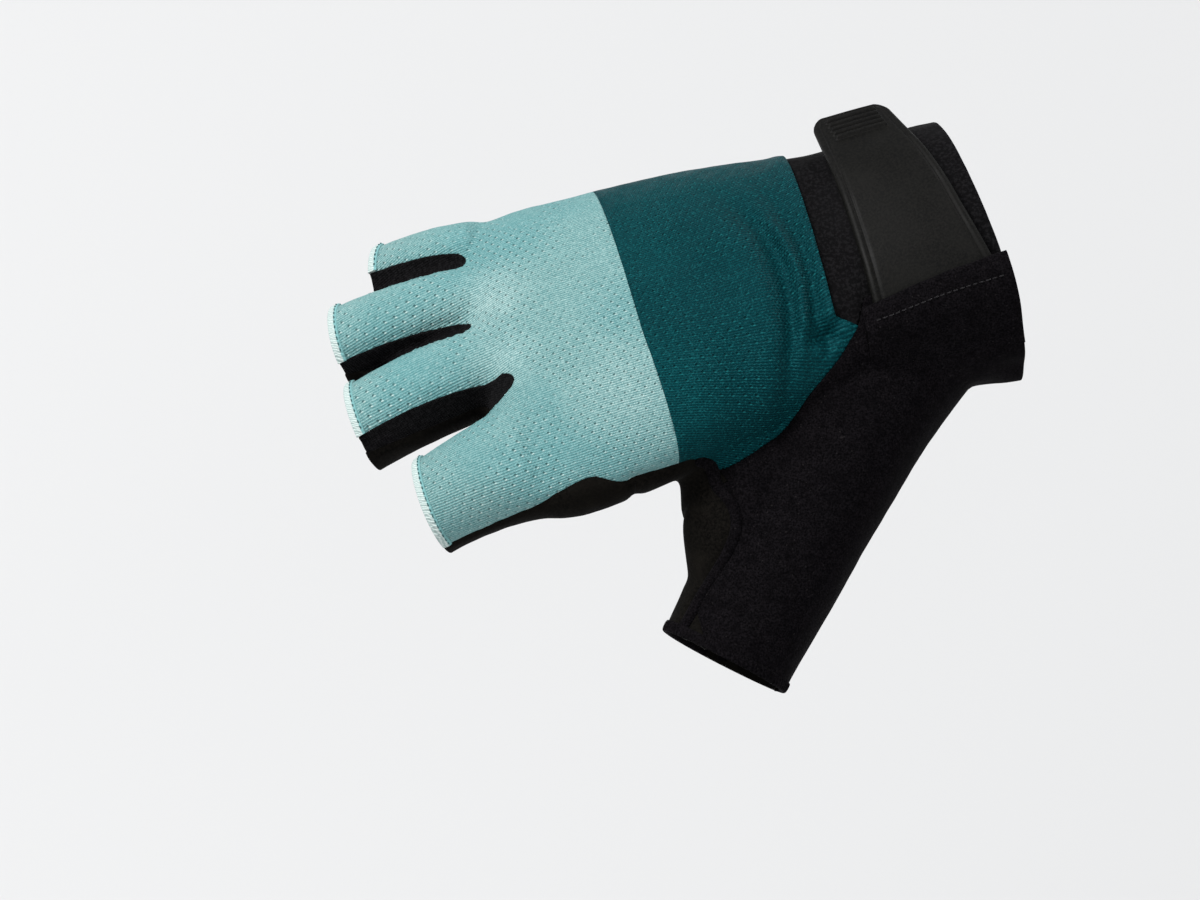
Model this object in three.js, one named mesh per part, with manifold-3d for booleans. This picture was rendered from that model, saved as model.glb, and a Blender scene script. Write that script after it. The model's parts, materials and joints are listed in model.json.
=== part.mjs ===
// A half-finger cycling glove for the right hand, kept in the form that it has when it is worn.
// Millimetres. The fingers point to -X, the little finger lies to +Y, the thumb to -Y, and the
// back of the hand looks up, to +Z. The origin is the middle of the wrist opening.
import * as THREE from "three";
import { mergeVertices } from "three/addons/utils/BufferGeometryUtils.js";
import Module from "manifold-3d";

const wasm = await Module();
wasm.setup();

// Driving dimensions
const palmLength = 112;         // wrist edge to the finger crotches
const palmWidth = 80;           // across the knuckles
const palmDepth = 28;           // back to palm at the knuckles
const wristWidth = 64;
const wristDepth = 44;
const wristSlant = 0.1;         // how far the thumb side runs up the arm, per mm across
const stallLength = 28;         // finger crotches to the hem of the middle finger
const stallWidth = 20;          // middle finger stall, across
const stallDrop = 23;           // droop of the four finger stalls, in degrees
const knuckleSink = 9;          // middle of the knuckles below the middle of the wrist
const thumbReach = 78;          // thumb stall, from inside the heel of the hand to its hem
const thumbWidth = 29.5;
const thumbDepth = 25.5;
const clothWall = 1.5;
const seamGap = 0.3;
const hemWidth = 2.2;
const hemStand = 0.4;           // hem outside the cloth that it binds
const colourLine = 78.5;        // wrist edge to the line where the two colours meet
const cuffLength = 37;          // wrist edge to the welt of the dark panel
const palmCuffLength = 15;      // stretch cuff under the wrist
const thumbFront = 17;          // middle of the back to the folded edge of the thumb panel
const seamBindWidth = 2.8;
const seamBindHeight = 1.1;
const strapThickness = 2;
const strapBaseWidth = 27.5;
const strapTipWidth = 18.5;
const strapTipLength = 15;      // free end that stands off the wrist
const strapInset = 1.5;         // wrist edge to the strap at its foot
const strapTipRadius = 4;
const ribCount = 5;
const ribPitch = 1.7;
const ribWidth = 1;
const ribHeight = 0.6;
const ribLength = 12.5;
const ribMargin = 3;            // tip to the first rib
const strapFootAngle = 129;     // where the strap starts and leaves the wrist, in degrees round it
const strapLeaveAngle = 57;
const strapCurvedShare = 0.72;  // of the strap's length, laid round the wrist
const foldThickness = 1.7;      // the doubled edge of the thumb panel over the foot of the strap
const foldPast = 1.2;           // the folded edge beyond the strap's side
const foldStand = 0.2;          // and beyond the wrist edge

// Fullness of the rounded sections: 2 is an ellipse, more is squarer
const palmPower = 2.3;
const stallPower = 2.1;
const thumbPower = 2.15;

// Sections of the hand's body, from the wrist to the crotches. `along` is a share of the palm
// length and `rise` of the knuckle sink; `side` and `width` are shares of the width of the place
// in `of`, `up` and `down` of its depth.
const wrist = { width: wristWidth, depth: wristDepth };
const knuckles = { width: palmWidth, depth: palmDepth };
const palmSections = [
  { along: -0.07, side: 0.000, rise: 0.00, width: 1.00, of: wrist, up: 0.50, down: 0.50 },
  { along: 0.000, side: 0.000, rise: 0.00, width: 1.00, of: wrist, up: 0.50, down: 0.50 },
  { along: 0.140, side: 0.000, rise: 0.00, width: 0.97, of: wrist, up: 0.48, down: 0.47 },
  { along: 0.300, side: -0.01, rise: 0.00, width: 0.97, of: wrist, up: 0.42, down: 0.44 },
  { along: 0.450, side: -0.01, rise: -0.15, width: 0.84, of: knuckles, up: 0.64, down: 0.66 },
  { along: 0.600, side: -0.02, rise: -0.35, width: 0.91, of: knuckles, up: 0.59, down: 0.64 },
  { along: 0.750, side: -0.035, rise: -0.60, width: 0.96, of: knuckles, up: 0.53, down: 0.60 },
  { along: 0.880, side: -0.04, rise: -0.85, width: 0.99, of: knuckles, up: 0.47, down: 0.54 },
  { along: 0.960, side: -0.035, rise: -1.05, width: 0.93, of: knuckles, up: 0.40, down: 0.45 },
  { along: 1.000, side: -0.03, rise: -1.25, width: 0.80, of: knuckles, up: 0.27, down: 0.30 },
];

// The four finger stalls. `root` and `hem` are where the middle line lies across the hand, and
// `rootWidth` is the width at the knuckle, as shares of the palm width; `length` is a share of
// the stall length, `width` and `depth` of the stall width; `sink` is the hem's extra drop as a
// share of the stall width. `near` and `far` are where the back panel ends on the thumb side
// and on the little finger side, as shares of the half width.
const stalls = [
  { name: "little", root: 0.350, hem: 0.430, rootWidth: 0.22, length: 0.50, width: 0.80, depth: 0.86,
    sink: 0.10, near: -0.35, far: 2 },
  { name: "ring", root: 0.205, hem: 0.262, rootWidth: 0.23, length: 0.92, width: 0.89, depth: 0.92,
    sink: -0.05, near: -0.85, far: 0.85 },
  { name: "middle", root: 0.000, hem: 0.003, rootWidth: 0.26, length: 0.93, width: 1.00, depth: 0.97,
    sink: 0.05, near: -0.68, far: 0.90 },
  { name: "index", root: -0.330, hem: -0.325, rootWidth: 0.37, length: 0.58, width: 1.08, depth: 1.02,
    sink: 0.10, near: -2, far: 0.90 },
];

// Where the black strips between the stalls end on the back of the hand: shares of the palm
// length and of the palm width.
const crotches = [
  { name: "little_ring", low: "ring", high: "little", along: 0.976, side: 0.300 },
  { name: "ring_middle", low: "middle", high: "ring", along: 1.000, side: 0.090 },
  { name: "middle_index", low: "index", high: "middle", along: 0.952, side: -0.150 },
];

// Sections of the thumb stall, from inside the heel of the hand to the hem. `along` is a share
// of the thumb's reach; `x`, `y` and `z` are the middle line, and `width` and `depth` the
// section, as shares of the reach, the thumb width and the thumb depth.
const thumbSections = [
  { along: 0.00, x: -0.230, y: -0.115, z: -0.070, width: 1.30, depth: 1.12 },
  { along: 0.26, x: -0.430, y: -0.310, z: -0.130, width: 1.38, depth: 1.32 },
  { along: 0.58, x: -0.640, y: -0.560, z: -0.282, width: 1.16, depth: 1.16 },
  { along: 0.84, x: -0.820, y: -0.765, z: -0.405, width: 1.04, depth: 1.06 },
  { along: 1.00, x: -0.935, y: -0.885, z: -0.487, width: 1.00, depth: 1.00 },
];

// The web of skin between the thumb and the hand, in the same shares.
const webSections = [
  { along: 0.00, x: -0.720, y: -0.300, z: -0.120, width: 1.00, depth: 0.84 },
  { along: 0.50, x: -0.790, y: -0.560, z: -0.245, width: 1.00, depth: 0.78 },
  { along: 1.00, x: -0.850, y: -0.740, z: -0.380, width: 0.76, depth: 0.70 },
];

// Folds of the cloth on the back. `along` and `spread` are shares of the palm length, `side`
// and `reach` of the palm width, `lift` in shares of the cloth wall; `lean` slants the fold.
const folds = [
  { along: 0.335, spread: 0.014, side: 0.05, reach: 0.55, lift: 0.9, lean: -0.03 },
  { along: 0.385, spread: 0.018, side: 0.05, reach: 0.42, lift: -0.7, lean: -0.06 },
  { along: 0.425, spread: 0.022, side: 0.02, reach: 0.45, lift: 0.8, lean: -0.10 },
  { along: 0.350, spread: 0.026, side: -0.27, reach: 0.06, lift: -1.6, lean: 0.00 },
  { along: 0.560, spread: 0.040, side: -0.18, reach: 0.14, lift: 0.5, lean: 0.25 },
];

const back = new THREE.Vector3(0, 0, 1);
const farAway = 3 * palmLength;

// Reads every number of a table at one value of `along`, smoothly between its rows.
function readSections(rows, along) {
  let i = 0;
  while (i < rows.length - 2 && along > rows[i + 1].along) {
    i += 1;
  }
  const before = rows[Math.max(i - 1, 0)];
  const a = rows[i];
  const b = rows[i + 1];
  const after = rows[Math.min(i + 2, rows.length - 1)];
  const span = b.along - a.along;
  const t = (along - a.along) / span;
  const row = {};
  for (const key of Object.keys(a)) {
    const slopeA = (b[key] - before[key]) / (b.along - before.along) * span;
    const slopeB = (after[key] - a[key]) / (after.along - a.along) * span;
    row[key] = (2 * t ** 3 - 3 * t ** 2 + 1) * a[key] + (t ** 3 - 2 * t ** 2 + t) * slopeA
      + (3 * t ** 2 - 2 * t ** 3) * b[key] + (t ** 3 - t ** 2) * slopeB;
  }
  return row;
}

// One point of a rounded section: angle 0 is across, a quarter turn is up.
function sectionPoint(station, angle, inset) {
  const c = Math.cos(angle);
  const s = Math.sin(angle);
  const power = 2 / station.power;
  const width = station.halfWidth - inset;
  const height = (s > 0 ? station.up : station.down) - inset;
  const across = width * Math.sign(c) * Math.abs(c) ** power;
  const over = height * Math.sign(s) * Math.abs(s) ** power;
  return station.centre.clone()
    .addScaledVector(station.across, across)
    .addScaledVector(station.over, over);
}

// Skins rings of points, all with the same count, into one closed body with flat ends.
function skin(rings) {
  const count = rings[0].length;
  const positions = [];
  for (const ring of rings) {
    for (const p of ring) {
      positions.push(p.x, p.y, p.z);
    }
  }
  const index = [];
  for (let i = 0; i < rings.length - 1; i += 1) {
    for (let j = 0; j < count; j += 1) {
      const k = (j + 1) % count;
      const a = i * count + j;
      const b = i * count + k;
      index.push(a, b, a + count, b, b + count, a + count);
    }
  }
  for (const [ring, start] of [[rings[0], 0], [rings.at(-1), (rings.length - 1) * count]]) {
    const middle = new THREE.Vector3();
    for (const p of ring) {
      middle.addScaledVector(p, 1 / count);
    }
    const centre = positions.length / 3;
    positions.push(middle.x, middle.y, middle.z);
    for (let j = 0; j < count; j += 1) {
      const k = (j + 1) % count;
      const pair = start === 0 ? [k, j] : [j, k];
      index.push(centre, start + pair[0], start + pair[1]);
    }
  }
  const geometry = new THREE.BufferGeometry();
  geometry.setAttribute("position", new THREE.Float32BufferAttribute(positions, 3));
  geometry.setIndex(index);
  return geometry;
}

// Volume with its sign, to turn an inside-out body the right way.
function signedVolume(geometry) {
  const p = geometry.getAttribute("position");
  const index = geometry.getIndex();
  const corners = [new THREE.Vector3(), new THREE.Vector3(), new THREE.Vector3()];
  let volume = 0;
  for (let i = 0; i < index.count; i += 3) {
    corners.forEach((corner, j) => corner.fromBufferAttribute(p, index.getX(i + j)));
    volume += corners[0].dot(corners[1].clone().cross(corners[2])) / 6;
  }
  return volume;
}

const mergeDistance = 1e-4;

function toSolid(geometry) {
  geometry.deleteAttribute("normal");
  geometry.deleteAttribute("uv");
  const merged = mergeVertices(geometry, mergeDistance);
  const triVerts = Uint32Array.from(merged.getIndex().array);
  if (signedVolume(merged) < 0) {
    for (let i = 0; i < triVerts.length; i += 3) {
      [triVerts[i], triVerts[i + 1]] = [triVerts[i + 1], triVerts[i]];
    }
  }
  const vertProperties = Float32Array.from(merged.getAttribute("position").array);
  return new wasm.Manifold(new wasm.Mesh({ numProp: 3, vertProperties, triVerts }));
}

function toGeometry(solid) {
  const mesh = solid.getMesh();
  const positions = Float32Array.from(mesh.vertProperties);
  const geometry = new THREE.BufferGeometry();
  geometry.setAttribute("position", new THREE.BufferAttribute(positions, 3));
  geometry.setIndex(new THREE.BufferAttribute(Uint32Array.from(mesh.triVerts), 1));
  geometry.computeVertexNormals();
  return geometry;
}

function joined(solids) {
  return solids.reduce((sum, solid) => sum.add(solid));
}

// The middle line and size of the hand's body at a share of the palm length.
function palmStation(along) {
  const rows = palmSections.map((row) => ({
    along: row.along,
    side: row.side * row.of.width,
    rise: row.rise * knuckleSink,
    halfWidth: row.width * row.of.width / 2,
    up: row.up * row.of.depth,
    down: row.down * row.of.depth,
  }));
  const row = readSections(rows, along);
  return {
    centre: new THREE.Vector3(-along * palmLength, row.side, row.rise),
    across: new THREE.Vector3(0, 1, 0),
    over: back.clone(),
    halfWidth: row.halfWidth,
    up: row.up,
    down: row.down,
    power: palmPower,
  };
}

// How far the folds lift the cloth at a point of the back.
function foldLift(point) {
  let lift = 0;
  for (const fold of folds) {
    const y = point.y / palmWidth - fold.side;
    const x = -point.x / palmLength - fold.along - fold.lean * y;
    const window = Math.exp(-((y / fold.reach) ** 4));
    lift += fold.lift * clothWall * Math.exp(-((x / fold.spread) ** 2)) * window;
  }
  return lift;
}

// A point on the hand's body, on the back with its folds; a negative inset stands outside it.
function palmPoint(along, angle, inset) {
  const station = palmStation(along);
  const point = sectionPoint(station, angle, inset);
  const facing = Math.max(Math.sin(angle), 0) ** 0.5;
  point.z += foldLift(point) * facing;
  point.x -= wristSlant * point.y * Math.max(1 - along * palmLength / cuffLength, 0);
  return point;
}

// Where the rings of the hand's body lie, closest together over the folds.
const palmRingPoints = 32;
const palmStops = [0, 0.14, 0.29, 0.315, 0.335, 0.36, 0.39, 0.42, 0.45, 0.5, 0.57,
  0.65, 0.75, 0.85, 0.92, 0.96, 1];

function palmBody(inset, runPast) {
  const capInset = Math.max(inset, 0) / palmLength;
  const stops = runPast ? [palmSections[0].along, ...palmStops] : palmStops;
  const rings = stops.map((stop) => {
    const along = Math.min(stop, 1 - capInset);
    return Array.from({ length: palmRingPoints }, (_, j) =>
      palmPoint(along, (j / palmRingPoints) * 2 * Math.PI, inset));
  });
  return toSolid(skin(rings));
}

// Middle line and size of a finger stall at a share of its length; past 1 is beyond the hem.
// The stall leaves the knuckle line level, bends down to its full droop, and starts wider.
const knuckleLine = 0.93;       // share of the palm length
const levelShare = 0.25;
const bendPower = 0.8;
const widenPower = 1.5;
const rootSwell = 0.1;
const droop = Math.tan(THREE.MathUtils.degToRad(stallDrop));

function stallStation(stall, share) {
  const rootX = -knuckleLine * palmLength;
  const hemX = -palmLength - stall.length * stallLength;
  const x = THREE.MathUtils.lerp(rootX, hemX, share);
  const y = THREE.MathUtils.lerp(stall.root, stall.hem, share) * palmWidth;
  const bend = THREE.MathUtils.lerp(share, share * Math.max(share, 0) ** bendPower, 1 - levelShare);
  const z = -knuckleSink - droop * (rootX - hemX) * bend - stall.sink * stallWidth * share;
  const widen = Math.max(1 - share, 0) ** widenPower;
  const slope = new THREE.Vector3(hemX - rootX, (stall.hem - stall.root) * palmWidth,
    -droop * (rootX - hemX)).normalize();
  const across = new THREE.Vector3().crossVectors(back, slope).normalize();
  across.multiplyScalar(Math.sign(across.y));
  const over = new THREE.Vector3().crossVectors(across, slope).normalize();
  over.multiplyScalar(Math.sign(over.z));
  const hemHalf = stall.width * stallWidth / 2;
  const rootHalf = stall.rootWidth * palmWidth / 2;
  const halfDepth = stall.depth * stallWidth / 2 * (1 + rootSwell * widen);
  return {
    centre: new THREE.Vector3(x, y, z),
    across,
    over,
    halfWidth: THREE.MathUtils.lerp(hemHalf, rootHalf, widen),
    up: halfDepth,
    down: halfDepth,
    power: stallPower,
  };
}

const stallRingPoints = 16;
const stallSteps = 5;

function stationRing(station, count, inset) {
  return Array.from({ length: count }, (_, j) => sectionPoint(station, j / count * 2 * Math.PI, inset));
}

function stallBody(stall, inset, to) {
  const rings = Array.from({ length: stallSteps + 1 }, (_, i) =>
    stationRing(stallStation(stall, to * i / stallSteps), stallRingPoints, inset));
  return toSolid(skin(rings));
}

function stallSpan(stall) {
  const a = stallStation(stall, 0).centre;
  const b = stallStation(stall, 1).centre;
  return a.distanceTo(b);
}

// Middle line and size of the thumb stall or of the web; past 1 it runs straight on.
const lookBack = 0.02;          // share of the reach, to find which way the line runs

function thumbStation(rows, along) {
  const row = readSections(rows, Math.min(along, 1));
  const before = readSections(rows, Math.min(along, 1) - lookBack);
  const centre = new THREE.Vector3(row.x, row.y, row.z).multiplyScalar(thumbReach);
  const behind = new THREE.Vector3(before.x, before.y, before.z).multiplyScalar(thumbReach);
  const forward = centre.clone().sub(behind).normalize();
  centre.addScaledVector(forward, Math.max(along - 1, 0) * thumbReach);
  const across = new THREE.Vector3().crossVectors(back, forward).normalize();
  const over = new THREE.Vector3().crossVectors(forward, across).normalize();
  return {
    centre,
    across,
    over,
    halfWidth: row.width * thumbWidth / 2,
    up: row.depth * thumbDepth / 2,
    down: row.depth * thumbDepth / 2,
    power: thumbPower,
  };
}

const thumbRingPoints = 20;
const thumbSteps = 6;

function thumbBody(rows, inset, from, to, steps) {
  const rings = Array.from({ length: steps + 1 }, (_, i) =>
    stationRing(thumbStation(rows, THREE.MathUtils.lerp(from, to, i / steps)), thumbRingPoints, inset));
  return toSolid(skin(rings));
}

// The whole form at an inset from its outside; `runPast` takes it out through its openings.
function handForm(inset, runPast) {
  const beyond = runPast ? 4 * clothWall : 0;
  const parts = [palmBody(inset, runPast)];
  for (const stall of stalls) {
    parts.push(stallBody(stall, inset, 1 + beyond / stallSpan(stall)));
  }
  parts.push(thumbBody(thumbSections, inset, 0, 1 + beyond / thumbReach, thumbSteps));
  parts.push(thumbBody(webSections, inset, 0, 1, thumbSteps));
  return joined(parts);
}

// Upright prism over an outline in the plane of the hand.
function prism(points) {
  const shape = new THREE.Shape(points.map(([x, y]) => new THREE.Vector2(x, y)));
  const geometry = new THREE.ExtrudeGeometry(shape, { depth: 2 * farAway, bevelEnabled: false });
  geometry.translate(0, 0, -farAway);
  return toSolid(geometry);
}

// An upright ribbon of one width along a line of points, mitred at its bends.
const leastMitre = 0.5;

function ribbon(points, width) {
  const line = points.map(([x, y]) => new THREE.Vector2(x, y));
  const left = [];
  const right = [];
  line.forEach((p, i) => {
    const before = line[Math.max(i - 1, 0)];
    const after = line[Math.min(i + 1, line.length - 1)];
    const dirIn = p.clone().sub(before).normalize();
    const dirOut = after.clone().sub(p).normalize();
    const direction = dirIn.clone().add(dirOut).normalize();
    const normal = new THREE.Vector2(-direction.y, direction.x);
    const reference = i === 0 ? dirOut : dirIn;
    const mitre = 1 / Math.max(direction.dot(reference), leastMitre);
    left.push(p.clone().addScaledVector(normal, mitre * width / 2));
    right.push(p.clone().addScaledVector(normal, -mitre * width / 2));
  });
  return prism([...left, ...right.reverse()].map((p) => [p.x, p.y]));
}

// Height of the side seam, where the back panels meet the suede. It follows the middle of the hand
// and the droop of the stalls; on the index side it climbs past the web and drops on the stall;
// round the thumb it lies lower. `rise` is above the middle, in shares of the palm depth.
const indexSeam = [
  { along: 0.60, rise: 0.050 },
  { along: 0.74, rise: 0.125 },
  { along: 0.82, rise: 0.186 },
  { along: 0.90, rise: 0.171 },
  { along: 0.98, rise: 0.075 },
  { along: 1.13, rise: -0.090 },
];
const littleSideRise = 0.1;
const thumbSeamBelow = 0.28;    // share of the thumb depth
const thumbSeamStart = -0.3;    // share of the thumb, where its line turns level
const thumbBlend = 0.1;         // share of the palm width, and of the palm length at the corner
const thumbRoot = thumbStation(thumbSections, thumbSections[1].along).centre;
const thumbTip = thumbStation(thumbSections, 1).centre;
const thumbRun = new THREE.Vector2(thumbTip.x - thumbRoot.x, thumbTip.y - thumbRoot.y);

function thumbSeam(x, y) {
  const share = ((x - thumbRoot.x) * thumbRun.x + (y - thumbRoot.y) * thumbRun.y) / thumbRun.lengthSq();
  return THREE.MathUtils.lerp(thumbRoot.z, thumbTip.z, Math.max(share, thumbSeamStart))
    - thumbSeamBelow * thumbDepth;
}

function sideSeam(x, y) {
  const { lerp, clamp, smoothstep } = THREE.MathUtils;
  const station = palmStation(clamp(-x / palmLength, 0, knuckleLine));
  const pastKnuckles = Math.max(-x - knuckleLine * palmLength, 0);
  const indexAlong = clamp(-x / palmLength, indexSeam[0].along, indexSeam.at(-1).along);
  const indexSide = smoothstep(-y, 0.2 * palmWidth, 0.45 * palmWidth);
  const rise = lerp(littleSideRise, readSections(indexSeam, indexAlong).rise, indexSide);
  const palmLine = station.centre.z + rise * palmDepth - droop * pastKnuckles;
  const start = new THREE.Vector2(...thumbFrontLine.at(-4));
  const end = new THREE.Vector2(...thumbFrontLine.at(-1));
  const direction = end.clone().sub(start).normalize();
  const outside = (x - start.x) * -direction.y + (y - start.y) * direction.x;
  const blend = smoothstep(outside, 0, thumbBlend * palmWidth)
    * smoothstep(x, end.x - thumbBlend * palmLength, end.x);
  return lerp(palmLine, thumbSeam(x, y), blend);
}

// A block between two height fields, over a rectangle larger than the glove.
const beyondWrist = 0.3 * palmLength;

function fieldBlock(low, high) {
  const columns = 24;
  const rows = 22;
  const reachX = [-palmLength - 2 * stallLength, beyondWrist];
  const reachY = [-1.35 * palmWidth, 0.8 * palmWidth];
  const positions = [];
  for (const height of [low, high]) {
    for (let i = 0; i <= columns; i += 1) {
      for (let j = 0; j <= rows; j += 1) {
        const x = THREE.MathUtils.lerp(...reachX, i / columns);
        const y = THREE.MathUtils.lerp(...reachY, j / rows);
        positions.push(x, y, height(x, y));
      }
    }
  }
  const index = [];
  const layer = (columns + 1) * (rows + 1);
  const at = (i, j, top) => top * layer + i * (rows + 1) + j;
  const quad = (a, b, c, d) => index.push(a, b, c, a, c, d);
  for (let i = 0; i < columns; i += 1) {
    for (let j = 0; j < rows; j += 1) {
      quad(at(i, j, 1), at(i + 1, j, 1), at(i + 1, j + 1, 1), at(i, j + 1, 1));
      quad(at(i, j, 0), at(i, j + 1, 0), at(i + 1, j + 1, 0), at(i + 1, j, 0));
    }
  }
  for (let i = 0; i < columns; i += 1) {
    quad(at(i, 0, 0), at(i + 1, 0, 0), at(i + 1, 0, 1), at(i, 0, 1));
    quad(at(i + 1, rows, 0), at(i, rows, 0), at(i, rows, 1), at(i + 1, rows, 1));
  }
  for (let j = 0; j < rows; j += 1) {
    quad(at(0, j + 1, 0), at(0, j, 0), at(0, j, 1), at(0, j + 1, 1));
    quad(at(columns, j, 0), at(columns, j + 1, 0), at(columns, j + 1, 1), at(columns, j, 1));
  }
  const geometry = new THREE.BufferGeometry();
  geometry.setAttribute("position", new THREE.Float32BufferAttribute(positions, 3));
  geometry.setIndex(index);
  return toSolid(geometry);
}

// Lines where the panels meet, seen from above, wrist end first. The thumb panel's front line
// runs past the cuff to a small tab, then to the corner where light back, thumb panel and web
// meet. The points between the two are shares of the way from one to the other.
const lerp = THREE.MathUtils.lerp;
const sideways = 1.5 * palmWidth;
const tab = [-0.875 * cuffLength, -1.39 * thumbFront];
const corner = [-0.92 * colourLine, -0.475 * palmWidth];
const frontSections = [
  { along: 0.14, across: 0.38 },
  { along: 0.41, across: 0.76 },
  { along: 0.82, across: 1.20 },
];
const thumbFrontLine = [
  [beyondWrist, -0.92 * thumbFront],
  [0, -0.95 * thumbFront],
  [-0.81 * cuffLength, -1.08 * thumbFront],
  tab,
  ...frontSections.map((row) => [lerp(tab[0], corner[0], row.along), lerp(tab[1], corner[1], row.across)]),
  corner,
];
const cuffLine = [
  [-cuffLength, palmWidth],
  [-cuffLength, -1.21 * thumbFront],
  tab,
  [tab[0], -sideways],
];

// The line where the two colours meet: shares of the palm length past the colour line, and of
// the palm width.
const colourSections = [
  { along: 0.006, across: 1.00 },
  { along: 0.000, across: 0.30 },
  { along: -0.004, across: -0.15 },
  { along: -0.022, across: -0.47 },
  { along: -0.030, across: -1.00 },
];
const colourBorder = colourSections.map((row) =>
  [-colourLine - row.along * palmLength, row.across * palmWidth]);

// The gusset's line goes round the web in shares of the thumb width from the corner, then to the
// thumb's hem and past it.
const gussetSections = [
  { along: -0.30, across: -0.244 },
  { along: 0.00, across: 0.00 },
  { along: 0.20, across: -0.22 },
  { along: 0.25, across: -0.43 },
  { along: 0.10, across: -0.60 },
];
const gussetEndShare = 0.55;    // of the hem's half width, towards the fingers
const thumbHem = thumbStation(thumbSections, 1);
const hemSide = thumbHem.across.clone().multiplyScalar(-Math.sign(thumbHem.across.x));
const gussetEnd = thumbHem.centre.clone().addScaledVector(hemSide, gussetEndShare * thumbHem.halfWidth);
const gussetPast = gussetEnd.clone().multiplyScalar(1.2);
const gussetLine = [
  ...gussetSections.map((row) => [corner[0] + row.along * thumbWidth, corner[1] + row.across * thumbWidth]),
  [lerp(corner[0], gussetEnd.x, 0.5), lerp(corner[1], gussetEnd.y, 0.86)],
  [gussetEnd.x, gussetEnd.y],
  [gussetPast.x, gussetPast.y],
];

const below = fieldBlock(() => -farAway, sideSeam);
const sideCut = fieldBlock((x, y) => sideSeam(x, y) - seamGap / 2, (x, y) => sideSeam(x, y) + seamGap / 2);
const underThumb = fieldBlock(() => -farAway, thumbSeam);
const thumbZone = prism([...thumbFrontLine, ...gussetLine.slice(2), [gussetPast.x, -farAway],
  [beyondWrist, -farAway]]);
const gussetZone = prism([...gussetLine, [-2 * palmLength, 2 * gussetPast.y],
  [-2 * palmLength, 1.8 * corner[1]]]);
const palmCuffLine = [[-palmCuffLength, palmWidth], [-palmCuffLength, -sideways]];
const palmCuffZone = prism([...palmCuffLine, [beyondWrist, -sideways], [beyondWrist, palmWidth]]);
const cuffZone = prism([...cuffLine, [beyondWrist, -sideways], [beyondWrist, palmWidth]])
  .subtract(thumbZone).subtract(below).add(palmCuffZone.intersect(below));
const darkZone = prism([...colourBorder, [beyondWrist, -palmWidth], [beyondWrist, palmWidth]]);

// Black strips between the stalls: a rounded end on the back of the hand, then out past the hems
// along the edges of the two back panels beside it.
const crotchRound = 0.1 * stallWidth;
const stripShares = { root: 0.4, middle: 0.8, beyond: 1.6 };

function stripOutline(crotch) {
  const low = stalls.find((stall) => stall.name === crotch.low);
  const high = stalls.find((stall) => stall.name === crotch.high);
  const edge = (stall, share, side) => {
    const station = stallStation(stall, share);
    return [station.centre.x, station.centre.y + side * station.halfWidth];
  };
  const tipX = -crotch.along * palmLength;
  const tipY = crotch.side * palmWidth;
  const highSide = tipY + crotchRound;
  const lowSide = tipY - crotchRound;
  const highRoot = lerp(highSide, edge(high, stripShares.root, high.near)[1], 0.5);
  const lowRoot = lerp(lowSide, edge(low, stripShares.root, low.far)[1], 0.5);
  return [
    edge(high, stripShares.beyond, high.near),
    edge(high, stripShares.middle, high.near),
    [tipX - 1.6 * crotchRound, Math.max(highSide, highRoot)],
    [tipX - 0.4 * crotchRound, tipY + 0.8 * crotchRound],
    [tipX, tipY],
    [tipX - 0.4 * crotchRound, tipY - 0.8 * crotchRound],
    [tipX - 1.6 * crotchRound, Math.min(lowSide, lowRoot)],
    edge(low, stripShares.middle, low.far),
    edge(low, stripShares.beyond, low.far),
  ];
}

const strips = crotches.map((crotch) => {
  const line = stripOutline(crotch);
  return { name: `fourchette_${crotch.name}`, body: prism(line), cut: ribbon(line, seamGap) };
});
const stripBodies = joined(strips.map((strip) => strip.body));
const stripCuts = joined(strips.map((strip) => strip.cut));

// The cloth of the glove as one wall, and the narrow cuts that part it into its panels.
const shell = handForm(0, false).subtract(handForm(clothWall, true));
const cuts = [
  sideCut.subtract(palmCuffZone.subtract(thumbZone)).subtract(gussetZone),
  ribbon(thumbFrontLine, seamGap).subtract(below).subtract(gussetZone),
  ribbon(gussetLine, seamGap),
  ribbon(cuffLine, seamGap).subtract(thumbZone).subtract(below),
  ribbon(palmCuffLine, seamGap).intersect(below),
  ribbon(colourBorder, seamGap).subtract(below).subtract(thumbZone).subtract(gussetZone),
  stripCuts.subtract(below),
];
const panels = cuts.reduce((cloth, cut) => cloth.subtract(cut), shell);

// Hems of the finger stalls: rolled edges on the back panel alone.
function hemDrum(from, to, inset) {
  return toSolid(skin([stationRing(from, stallRingPoints, inset), stationRing(to, stallRingPoints, inset)]));
}

const light = new THREE.MeshStandardMaterial({ name: "mint_knit", color: 0x86c2c0, roughness: 0.8 });
const dark = new THREE.MeshStandardMaterial({ name: "teal_knit", color: 0x0c4c52, roughness: 0.7 });
const wipe = new THREE.MeshStandardMaterial({ name: "black_brushed", color: 0x161416, roughness: 0.95 });
const suede = new THREE.MeshStandardMaterial({ name: "suede", color: 0x26221e, roughness: 0.9 });
const stretch = new THREE.MeshStandardMaterial({ name: "black_stretch", color: 0x26242a, roughness: 0.85 });
const laminate = new THREE.MeshStandardMaterial({ name: "strap_laminate", color: 0x242424, roughness: 0.5 });
const rolled = new THREE.MeshStandardMaterial({ name: "pale_edge", color: 0xc8ded9, roughness: 0.85 });

// Where several cuts meet at a corner they can leave a crumb of cloth, which is swept away.
const crumbShare = 0.01;

function withoutCrumbs(solid) {
  const least = crumbShare * solid.volume();
  return joined(solid.decompose().filter((body) => body.volume() > least));
}

const glove = new THREE.Group();

function addPiece(name, solid, material) {
  const mesh = new THREE.Mesh(toGeometry(withoutCrumbs(solid)), material);
  mesh.name = name;
  glove.add(mesh);
}

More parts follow.
